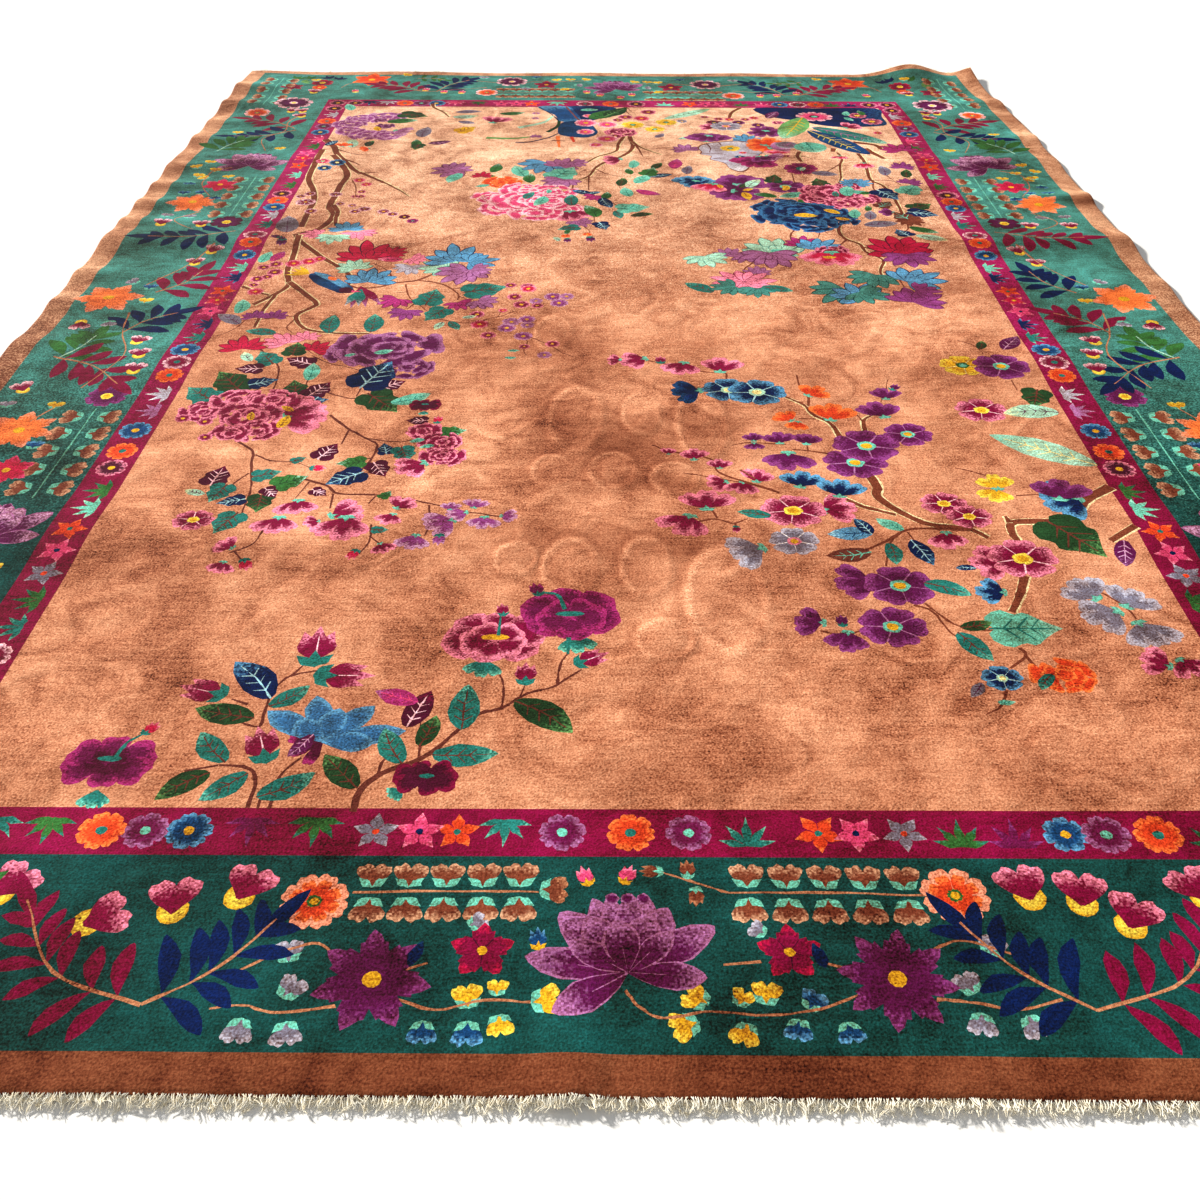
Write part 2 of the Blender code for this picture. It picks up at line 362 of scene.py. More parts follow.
# half widths of a petal or leaf of length 1, from its base to its tip
PETAL = ((0.0, 0.08), (0.2, 0.2), (0.42, 0.4), (0.62, 0.5), (0.8, 0.5), (0.93, 0.42), (1.0, 0.25),
         (0.955, 0.0))
LEAFLET = ((0.0, 0.05), (0.2, 0.26), (0.42, 0.5), (0.58, 0.47), (0.7, 0.3), (1.0, 0.0))
LOBE = ((0.0, 0.1), (0.2, 0.26), (0.42, 0.44), (0.6, 0.5), (0.76, 0.43), (0.9, 0.24), (1.0, 0.0))
VINE_LEAF = ((0.05, 0.03), (-0.03, 0.13), (0.0, 0.29), (0.11, 0.43), (0.25, 0.47), (0.36, 0.39),
             (0.43, 0.36), (0.53, 0.41), (0.61, 0.37), (0.72, 0.24), (0.86, 0.11), (1.0, 0.0))


def shaped(base, tip, width, form):
    """A petal or leaf from base to tip, as one of these forms."""
    axis = tip - base
    side = 1j * axis / abs(axis) * width
    left = [base + axis * along + side * out for along, out in form]
    right = [base + axis * along - side * out for along, out in form[:-1]]
    return np.array(right + left[::-1])


def smooth_route(route, steps=5):
    """A smooth line through the points of a route."""
    route = np.asarray(route, dtype=complex)
    if route.size < 3:
        return route
    guides = np.concatenate([[2 * route[0] - route[1]], route, [2 * route[-1] - route[-2]]])
    line = []
    for before, start, end, after in zip(guides, guides[1:], guides[2:], guides[3:]):
        for share in np.arange(steps) / steps:
            line.append(0.5 * (2 * start + (end - before) * share
                               + (2 * before - 5 * start + 4 * end - after) * share ** 2
                               + (3 * start - before - 3 * end + after) * share ** 3))
    return np.array([*line, route[-1]])


def draw_stem(route, start, end, colour, edge=None):
    """A stem that narrows from one width to another, with a pale edge if it has one."""
    line = smooth_route(route)
    side = 1j * np.gradient(line)
    side = side / np.abs(side)
    half = np.linspace(start, end, line.size) / 2
    if edge:
        draw(np.concatenate([line - side * (half + 0.001), (line + side * (half + 0.0035))[::-1]]), edge)
    draw(np.concatenate([line - side * half, (line + side * half)[::-1]]), colour)


def draw_leaf(base, tip, width, core, rim, vein=None, pairs=3, outline=None, bend=0.0, **form):
    """A leaf that turns from core at its stalk to rim at its tip, with its ribs."""
    if outline is None:
        outline = leaf_outline(base, tip, width, bend=bend, **form)
    draw(outline, core, rim, base, (tip - base) * 1.15)
    if vein:
        axis = tip - base
        bow = 1j * bend * axis
        line = width * 0.028 + 0.0009
        draw_stem([base, base + axis * 0.45 + bow, base + axis * 0.86 + bow * 0.4],
                  line * 1.3, line * 0.6, vein)
        for pair in range(pairs):
            share = 0.2 + 0.55 * pair / pairs
            root = base + axis * share + bow * math.sin(math.pi * share)
            reach = width * 0.31 * math.sin(math.pi * (share + 0.12))
            for side in (-1, 1):
                end = root + axis / abs(axis) * (reach * 0.8 + side * 1j * reach)
                draw_stem([root, end], line, line * 0.5, vein)


def draw_fan(base, heading, length, petals, spread, width, core, rim, line=None, edge=None,
             form=PETAL, taper=0.0, uneven=0.0):
    """Petals or leaflets that open from one point, the outer ones first."""
    angles = [0.0] if petals == 1 else np.linspace(-spread / 2, spread / 2, petals)
    for angle in sorted(angles, key=abs, reverse=True):
        shorter = 1 - taper * abs(angle) / max(spread / 2, 1.0)
        reach = length * shorter * (1 + uneven * hand.uniform(-1, 1))
        way = toward(heading + angle + uneven * hand.uniform(-60, 60))
        if edge:
            draw(shaped(base, base + (reach + width * 0.08) * way, width * 1.2, form), edge)
        draw(shaped(base, base + reach * way, width, form), core, rim, base, reach * way)
        if line:
            draw_stem([base + reach * 0.2 * way, base + reach * 0.7 * way],
                      width * 0.06, width * 0.03, line)


def draw_disc(centre, radius, core, rim=None, lobes=0, flat=1.0, points=16):
    """A round spot, smooth or lobed."""
    depth = 0.12                 # of the cuts between its lobes
    angles = 2 * np.pi * np.arange(max(points, lobes * 5)) / max(points, lobes * 5)
    reach = radius * (1 - depth + depth * np.abs(np.cos(angles * lobes / 2))) if lobes else radius
    outline = reach * np.exp(1j * angles)
    draw(centre + outline.real + 1j * flat * outline.imag, core, rim, centre, radius)


def draw_rosette(centre, radius, petals, core, rim, eye, eye_rim=None, line=None, turn=90.0, flat=1.0,
                 fill=1.0):
    """An open flower seen from above; flat below 1 is one seen a little from the side."""
    def seen(point):
        return centre + (point.real + 1j * flat * point.imag)
    width = 1.3 * fill * radius * math.tan(math.pi / petals)
    for petal in hand.permutation(petals):
        way = toward(turn + 360 * petal / petals)
        draw(seen(shaped(0.1 * radius * way, radius * way, width, PETAL)), core, rim, centre,
             seen(radius * way) - centre)
    if line:
        for petal in range(petals):
            way = toward(turn + 360 * (petal + 0.5) / petals)
            draw_stem([seen(0.28 * radius * way), seen(0.8 * radius * way)],
                      radius * 0.05, radius * 0.03, line)
    if eye_rim:
        draw_disc(centre, radius * 0.3, eye_rim, flat=flat, lobes=petals)
    draw_disc(centre, radius * (0.18 if eye_rim else 0.24), eye, flat=flat, points=9)


POINTED_LOBE = ((0.0, 0.56), (0.14, 0.76), (0.24, 0.74), (0.36, 0.88), (0.5, 1.0), (0.64, 0.88),
                (0.76, 0.74), (0.86, 0.76))


def draw_star(centre, radius, points, core, rim, eye, line=None, turn=90.0):
    """A flower with pointed, stepped petals and a small round eye."""
    outline = []
    for lobe in range(points):
        for share, reach in POINTED_LOBE:
            outline.append(radius * reach * toward(turn + 360 * (lobe + share - 0.5) / points))
    outline = np.array(outline)
    draw(centre + outline, core, rim, centre, radius)
    if line:
        for lobe in range(points):
            way = toward(turn + 360 * (lobe + 0.5) / points)
            draw_stem([centre + 0.15 * radius * way, centre + 0.52 * radius * way], radius * 0.035,
                      radius * 0.02, line)
    draw_disc(centre, radius * 0.16, eye, points=10)


def draw_heart(base, heading, size, core, rim, cup):
    """A nut or bud of two lobes, in a round lemon cup or between two leaflets."""
    if cup == "lemon":
        draw_disc(base + toward(heading) * size * 0.2, size * 0.36, cup, "gold", points=12)
        base = base + toward(heading) * size * 0.14
    draw_fan(base, heading, size, 2, 48, size * 0.6, core, rim)
    if cup != "lemon":
        draw_fan(base - toward(heading) * size * 0.06, heading, size * 0.64, 2, 104, size * 0.32,
                 cup, cup, form=LEAFLET)


def draw_bud(base, heading, length, core, rim, cup, line=None):
    """A closed flower: three petals in their cup."""
    draw_fan(base, heading, length, 3, 36, length * 0.42, core, rim, line, form=LEAFLET, taper=0.12)
    draw_fan(base - toward(heading) * length * 0.12, heading, length * 0.46, 3, 90, length * 0.2,
             cup, cup, form=LEAFLET)


def draw_scale(base, tip, width, core, rim, form=PETAL, heart=0.48):
    """A petal that is dark at its heart and pale all round its edge."""
    seen = tip - base
    reach = 0.95 - heart
    draw(shaped(base, tip, width, form), core, rim, base + heart * seen, reach * seen,
         (1.0, 2 * reach * abs(seen) / width))


def draw_ring(centre, radius, petals, core, rim, flat, turn, inner, stray, form=PETAL, fill=1.0):
    """A ring of such petals round a centre."""
    for petal in hand.permutation(petals):
        way = toward(turn + 360 * petal / petals + stray * hand.uniform(-1, 1))
        way = radius * (1 + stray * hand.uniform(-0.012, 0.008)) * (way.real + 1j * flat * way.imag)
        width = 2.5 * fill * abs(way) * math.sin(math.pi / petals)
        draw_scale(centre + way * inner, centre + way, width, core, rim, form)


def draw_peony(centre, radius, core, rim, turn):
    """A full flower, ring within ring of petals like scales."""
    rings = 2 if radius < 0.05 else 3
    for ring in range(rings):
        share = 1 - ring / rings
        petals = round(2.5 + 6.5 * share) if rings > 2 else 6 - 2 * ring
        draw_ring(centre + radius * 0.12 * (hand.uniform(-1, 1) + 1j * hand.uniform(-1, 1)) * (share < 1),
                  radius * share, petals, core, rim, 0.78, turn + 180 * (ring % 2) / petals,
                  1 - 1.45 / rings / share, 16.0)


def draw_frond(root, tip, pairs, length, width, colour, stalk, bow=0.12):
    """A feathery leaf: leaflets in pairs along a bowed stalk, shorter towards its tip."""
    axis = tip - root
    route = [root, root + axis * 0.5 + 1j * axis * bow, tip]
    line = smooth_route(route, 8)
    for pair in range(pairs):
        share = 0.14 + 0.82 * pair / pairs
        spot_index = round(share * (line.size - 1))
        way = line[min(spot_index + 1, line.size - 1)] - line[spot_index - 1]
        way = way / abs(way)
        for side in (-1, 1):
            reach = length * (0.92 - 0.35 * share) * hand.uniform(0.85, 1.1)
            end = line[spot_index] + reach * way * toward(side * 78 * (1 - 0.6 * share))
            draw(leaf_outline(line[spot_index], end, width * (1 - 0.25 * share), widest=0.58, blunt=0.8,
                              bend=side * -0.08), colour)
    way = (line[-1] - line[-3]) / abs(line[-1] - line[-3])
    draw(leaf_outline(line[-3], line[-1] + way * length * 0.6, width * 0.85, blunt=0.8), colour)
    draw_stem(route, 0.005, 0.003, stalk)


# ---- The guard stripe ------------------------------------------------------------------
# Small flowers and leaf sprigs follow one another round the wine stripe, mostly two or
# three flowers and then a sprig or two, and come out mirrored at the two sides.

ROSETTES = dict(O=("scarlet", "orange", "teal"), P=("grape", "mauve", "aqua"), B=("royal", "sky", "gold"),
                K=("garnet", "blush", "teal"), D=("maroon", "pink", "gold"))
STARS = dict(o=("scarlet", "orange", "teal"), k=("rose", "pink", "navy"),
             g=("slate", "silver", "scarlet"), r=("crimson", "salmon", "gold"))
SPRIGS = dict(t=("teal", "aqua"), l=("leaf", "teal"), v=("grape", "violet"), n=("navy", "sky"),
              w=("silver", "white"), a=("aqua", "mint"), f=("rose", "blush"), m=("mauve", "lilac"))


def draw_stripe_flower(kind, spot, heading):
    """One flower or sprig of the guard stripe."""
    size = 0.035 * hand.uniform(0.94, 1.06)
    if kind in ROSETTES:
        core, rim, eye = ROSETTES[kind]
        draw_rosette(spot, size, 7, core, rim, eye, turn=hand.uniform(0, 50), fill=1.1)
    elif kind in STARS:
        core, rim, eye = STARS[kind]
        draw_fan(spot, heading + 36, size * 1.05, 5, 288, size * 0.58, core, rim, form=LEAFLET)
        draw_disc(spot, size * 0.17, eye, points=8)
    else:
        core, rim = SPRIGS[kind]
        draw_fan(spot - toward(heading) * size * 0.7, heading, size * 1.55, 5, 150, size * 0.38,
                 core, rim, form=LEAFLET, taper=0.22)


def stripe_places(row):
    """Where each flower stands along the stripe, and its letter."""
    for entry in row.split(","):
        where, kind = entry.split()
        yield float(where) / 1000, kind


# millimetres from the middle of an end or of a side, and the letter of what stands there
NEAR_ROW = """
    30 O, 115 P, 200 t, 305 o, 360 k, 430 g, 510 l, 590 v, 665 B, 725 P, 800 O, 880 l, 955 t, -70 P,
    -155 t, -225 o, -280 k, -345 g, -435 l, -530 v, -620 B, -685 P, -750 O, -830 l, -910 t, -980 B
"""
FAR_ROW = """
    0 O, 100 D, 210 a, 310 o, 370 k, 430 k, 510 l, 590 f, 660 B, 730 K, 800 O, 860 l, 930 n, -100 K,
    -210 a, -310 o, -370 k, -430 k, -520 l, -610 f, -685 B, -745 P, -810 O, -880 w, -950 n
"""
SIDE_ROW = """
    1760 n, 1680 w, 1600 O, 1535 P, 1465 B, 1380 f, 1300 l, 1220 k, 1160 r, 1090 o, 1000 a, 900 l,
    820 D, 760 O, 700 B, 630 w, 550 t, 450 K, 390 O, 310 B, 220 a, 150 n, 60 o, 0 r, -70 k, -150 n,
    -230 t, -305 B, -375 K, -440 O, -530 w, -610 m, -700 B, -790 O, -860 D, -950 l, -1020 a, -1100 o,
    -1170 k, -1240 g, -1320 l, -1400 t, -1480 K, -1550 O, -1620 B, -1700 w, -1780 l
"""
stripe_side = field_half + SIDE_STRIPE / 2
stripe_near, stripe_far = band_near - NEAR_STRIPE / 2, band_far + FAR_STRIPE / 2
for where, kind in stripe_places(NEAR_ROW):
    draw_stripe_flower(kind, where + 1j * stripe_near, 90 if where > 0 else 270)
for where, kind in stripe_places(FAR_ROW):
    draw_stripe_flower(kind, where + 1j * stripe_far, 90 if where > 0 else 270)
for side in (-1, 1):
    for where, kind in stripe_places(SIDE_ROW):
        draw_stripe_flower(kind, side * stripe_side + 1j * where, 0 if side > 0 else 180)
    for end in (stripe_near, stripe_far):
        draw_stripe_flower("D", side * stripe_side + 1j * end, 90)
    for spot in (stripe_side - 0.07 + 1j * stripe_far, stripe_side + 1j * (stripe_far - 0.075)):
        draw_stripe_flower("D", side * spot.real + 1j * spot.imag, 90)

# ---- The near border -------------------------------------------------------------------
# On jade: a lotus in the middle, stars and nuts to its sides on thin stems, rails of
# brown nuts in pairs above. Farther out two great fronds part from one root, and
# leaves, stars and a purple rosette fill the corners.

# the lotus' petals from the back to the front: angle, length and width as shares of its size
LOTUS_PETALS = (
    (112, 0.52, 0.17), (76, 0.50, 0.17), (102, 0.50, 0.16), (88, 0.52, 0.16), (134, 0.54, 0.22),
    (62, 0.48, 0.22), (170, 0.56, 0.19), (32, 0.56, 0.2), (-4, 0.42, 0.17), (212, 0.46, 0.19),
    (122, 0.43, 0.2), (72, 0.40, 0.2), (148, 0.38, 0.15), (47, 0.36, 0.14), (100, 0.35, 0.2))


def draw_lotus(centre, size, heading=90.0, core="plum", rim="mauve"):
    """A lotus seen from the side, its petals opening from a point below its middle."""
    base = centre - toward(heading) * size * 0.16 + toward(heading - 90) * size * 0.04
    for angle, reach, width in LOTUS_PETALS:
        tip = base + size * reach * toward(heading - 90 + angle)
        draw(leaf_outline(base, base + (tip - base) * 1.04, size * width * 1.12, widest=0.58, blunt=0.72),
             "mauve")
        draw(leaf_outline(base, tip, size * width, widest=0.58, blunt=0.74), core, rim, base, tip - base)
        draw_stem([base, base + 0.5 * (tip - base)], size * 0.006, size * 0.004, "mauve")
    crown = base + toward(heading) * size * 0.5
    for shift in (-0.09, 0.0, 0.09):
        draw_disc(crown + toward(heading - 90) * size * shift, size * 0.04, core, "mauve", lobes=5)


def draw_rail(start, end, pairs, shift, size=0.036, stem="tan"):
    """A stem with nuts in pairs to its two sides, each in a pale cup."""
    draw_stem([start, (start + end) / 2 + 0.002j, end], 0.004, 0.003, stem)
    way = (end - start) / abs(end - start)
    degrees = math.degrees(cmath.phase(way))
    for pair in range(pairs):
        root = start + (end - start) * (pair + 0.5) / pairs
        for side in (-1, 1):
            draw_heart(root + side * 1j * way * shift, degrees + side * 90, size,
                       "cocoa", "camel", "aqua")


def route_of(row, place=complex):
    """The points of a route, from their places across and along in millimetres."""
    numbers = [float(number) / 1000 for number in row.split()]
    return [place(across, along) for across, along in zip(numbers[::2], numbers[1::2])]


def draw_stems(rows, colour, edge=None, place=complex):
    """Stems: width at the root and at the end, then the route, all in millimetres."""
    for row in rows.split(","):
        start, end, route = row.split(maxsplit=2)
        draw_stem(route_of(route, place), float(start) / 1000, float(end) / 1000, colour,
                  edge if float(start) > EDGED_WIDTH else None)


def draw_nuts(rows, place=complex, facing=float):
    """Nuts and buds: kind, place across and along, and size in millimetres, then heading."""
    for row in rows.split(","):
        kind, *numbers = row.split()
        across, along, size = (float(number) / 1000 for number in numbers[:3])
        draw_heart(place(across, along), facing(float(numbers[3])), size, *NUTS[kind])


def mirror(side, shift=0.0, drop=0.0):
    """Places set down for the right half, taken to either side of the rug."""
    def place(across, along):
        return side * (across + shift) + 1j * (along + drop)
    return place


EDGED_WIDTH = 9              # millimetres: thicker stems have a pale edge
NUTS = dict(yellow=("gold", "lemon", "aqua"), blue=("royal", "sky", "aqua"),
            grey=("slate", "silver", "aqua"), pink=("garnet", "pink", "lemon"),
            blush=("garnet", "blush", "lemon"))
for start, end in ((-0.36, -0.10), (0.44, 0.165)):
    draw_rail(start - 1.985j, end - 1.982j, 5, 0.011, 0.041)
draw_heart(-0.095 - 1.978j, 0, 0.038, "cocoa", "tan", "aqua")
draw_stem([0.165 - 1.982j, 0.12 - 1.965j, 0.07 - 1.945j], 0.004, 0.003, "tan")
for spot, heading in ((0.11 - 1.955j, 90), (0.12 - 1.975j, 270), (0.072 - 1.945j, 180)):
    draw_bud(spot, heading, 0.032, "cocoa", "tan", "aqua")

draw_nuts("""
    yellow -180 -2165 34 100, yellow -145 -2148 24 90, yellow -98 -2158 38 10, yellow -140 -2178 30 280,
    yellow 125 -2158 34 150, yellow 165 -2160 26 60, yellow 200 -2158 34 80, yellow 110 -2185 36 200,
    yellow 175 -2188 32 250, blue -235 -2188 32 270, blue -178 -2188 34 270, blue 255 -2165 30 60,
    blue 240 -2182 30 260, blue 300 -2186 30 280, grey -425 -2098 34 100, grey -420 -2152 34 60,
    grey -465 -2186 34 265, grey -408 -2190 34 280, grey 505 -2082 32 70, grey 470 -2140 32 110,
    grey 472 -2172 32 260, grey 530 -2175 32 290, grey -190 -2040 26 30, grey 210 -2050 24 150
""")
draw_stems("""
    4.5 3 -360 -2100 -390 -2070 -440 -2085 -490 -2115,
    4.5 3 -350 -2165 -420 -2175 -470 -2165 -510 -2170,
    4.5 3 -270 -2155 -220 -2170 -160 -2155 -100 -2158,
    4.5 3 20 -2140 40 -2165 70 -2180 130 -2170 200 -2175 270 -2165 330 -2140,
    4.5 3 420 -2150 470 -2155 520 -2165 580 -2150, 4.5 3 420 -2080 470 -2060 520 -2075 560 -2090,
    4.5 3 -240 -2100 -280 -2115, 4.5 3 200 -2095 150 -2100, 4.5 3 280 -2095 330 -2110
""", "tan")
draw_star(-0.31 - 2.125j, 0.08, 7, "plum", "violet", "gold", turn=95)
draw_star(0.375 - 2.12j, 0.08, 8, "plum", "violet", "gold", turn=80)
for where in (-0.17 - 2.08j, 0.24 - 2.08j):
    draw_star(where, 0.045, 5, "garnet", "crimson", "gold", "maroon")
draw_lotus(0.015 - 2.075j, 0.24)
for where in (-0.41 - 2.0j, 0.48 - 1.985j):
    draw_rosette(where, 0.048, 8, "salmon", "salmon", "gold", turn=70, fill=1.15)
    draw_rosette(where, 0.037, 8, "scarlet", "orange", "gold", "leaf", turn=70)
for where, heading in ((-0.095 - 2.075j, 95), (-0.03 - 1.968j, 110), (0.02 - 1.965j, 70)):
    core, rim = ("royal", "sky") if where.real < -0.05 else ("rose", "pink")
    draw_bud(where, heading, 0.034, core, rim, "gold")
draw_nuts("""
    pink -725 -2045 62 30, pink -600 -2030 62 100, pink -520 -2005 62 70, pink 585 -2000 62 100,
    pink 650 -2010 62 80, pink 700 -2045 62 60, pink -860 -2000 62 60, pink 830 -2000 62 110,
    pink -1000 -2010 62 80, pink 980 -2010 62 80
""")
for side, shift in ((-1, 0.0), (1, 0.021)):
    mirrored = mirror(side, shift)
    for root, tip, pairs, length, width, colour, bow in (
            ((0.60, -2.165), (0.455, -2.03), 5, 0.105, 0.03, "navy", 0.08),
            ((0.60, -2.165), (0.81, -2.0), 6, 0.1, 0.028, "garnet", -0.16),
            ((1.02, -2.17), (0.90, -1.99), 4, 0.1, 0.03, "leaf", -0.1)):
        draw_frond(mirrored(*root), mirrored(*tip), pairs, length, width, colour, "tan", side * bow)
    draw_star(mirrored(1.13, -2.09), 0.07, 6, "scarlet", "orange", "gold")
    draw_leaf(mirrored(0.265, -2.105), mirrored(0.25, -2.065), 0.018, "navy", "royal")
    for nut in range(3):
        draw_heart(mirrored(1.22 + 0.05 * nut, -2.16 + 0.01 * nut), 90, 0.034, *NUTS["yellow"])
        draw_heart(mirrored(1.24 + 0.05 * nut, -2.0 - 0.02 * nut), 270, 0.034, *NUTS["grey"])
    draw_rosette(mirrored(1.24, -2.08), 0.06, 8, "plum", "blush", "lemon", "orchid")
    draw_star(mirrored(1.37, -2.09), 0.06, 6, "crimson", "rose", "gold")

# ---- The far border --------------------------------------------------------------------
# The same flowers in another order: a lotus between two red stars and two dark rosettes,
# fronds in navy and garnet, and an orange star towards each corner.


def draw_great_frond(root, tip, pairs, colour, bow, stalk="tan"):
    """One of the great fronds of the far and side borders."""
    draw_frond(root, tip, pairs, 0.122, 0.040, colour, stalk, bow)


for side, drop in ((-1, 0.0), (1, -0.035)):
    mirrored = mirror(side, drop=drop)
    draw_rail(mirrored(0.455, 1.985), mirrored(0.14, 1.985), 6, 0.02, size=0.05)
    draw_rosette(mirrored(0.4, 2.15), 0.066, 8, "plum", "blush", "lemon", "orchid", turn=20)
    draw_rosette(mirrored(0.4, 2.15), 0.05, 8, "plum", "maroon", "lemon", "blush", turn=20)
    draw_rosette(mirrored(0.495, 1.99), 0.046, 6, "salmon", "blush", "gold")
    draw_rosette(mirrored(0.495, 1.99), 0.034, 5, "scarlet", "orange", "gold", "teal")
    draw_star(mirrored(0.255, 2.105), 0.055, 5, "garnet", "crimson", "gold", "maroon")
    draw_star(mirrored(0.99, 2.17), 0.088, 6, "scarlet", "orange", "gold")
    draw_great_frond(mirrored(0.76, 2.0), mirrored(0.95, 2.1), 5, "garnet", side * 0.12)
    draw_great_frond(mirrored(0.7, 2.0), mirrored(0.58, 2.17), 5, "navy", side * -0.1)
    draw_frond(mirrored(0.8, 2.19), mirrored(0.68, 2.17), 3, 0.06, 0.022, "leaf", "tan")
    for across, along, heading in ((1.03, 1.985, 100), (0.75, 2.01, 80), (0.67, 1.98, 90),
                                   (0.6, 1.975, 80), (0.09, 1.985, 90), (0.04, 1.945, 80)):
        draw_bud(mirrored(across, along), heading, 0.045, "rose", "blush", "lemon")
    draw_nuts("""
        yellow 210 2160 36 100, yellow 160 2165 36 80, yellow 100 2170 36 60, yellow 190 2060 36 300,
        grey 520 2190 36 90, blue 300 2200 36 90, grey 340 2070 36 270, grey 140 2100 36 0,
        yellow 860 2220 36 60
    """, mirrored)
    draw_stems("""
        4.5 3 800 2020 730 2000 620 2030 500 2060, 4.5 3 460 2130 550 2160,
        4.5 3 340 2140 260 2160 160 2155 80 2170, 4.5 3 900 2160 1060 2120 1100 2050
    """, "tan", place=mirrored)
    draw_star(mirrored(1.3, 2.04), 0.05, 6, "garnet", "crimson", "gold")
    draw_rosette(mirrored(1.19, 2.12), 0.045, 6, "garnet", "crimson", "gold", "lemon")
    draw_rosette(mirrored(1.19, 2.05), 0.03, 5, "scarlet", "orange", "lemon")
    for across, along, heading, colour in (
            (1.31, 2.16, 70, "leaf"), (1.25, 2.17, 110, "leaf"), (1.28, 2.12, 20, "grass"),
            (1.13, 2.165, 80, "navy"), (1.17, 2.18, 120, "navy")):
        draw_fan(mirrored(across, along), heading, 0.05, 3, 80, 0.02, colour, colour, form=LEAFLET)
draw_lotus(0.02 + 2.08j, 0.23)

# ---- The side borders ------------------------------------------------------------------
# The same again along both sides, with two lotuses that lean a little. The two sides
# mirror one another, but the fronds of their middle swap navy and garnet.

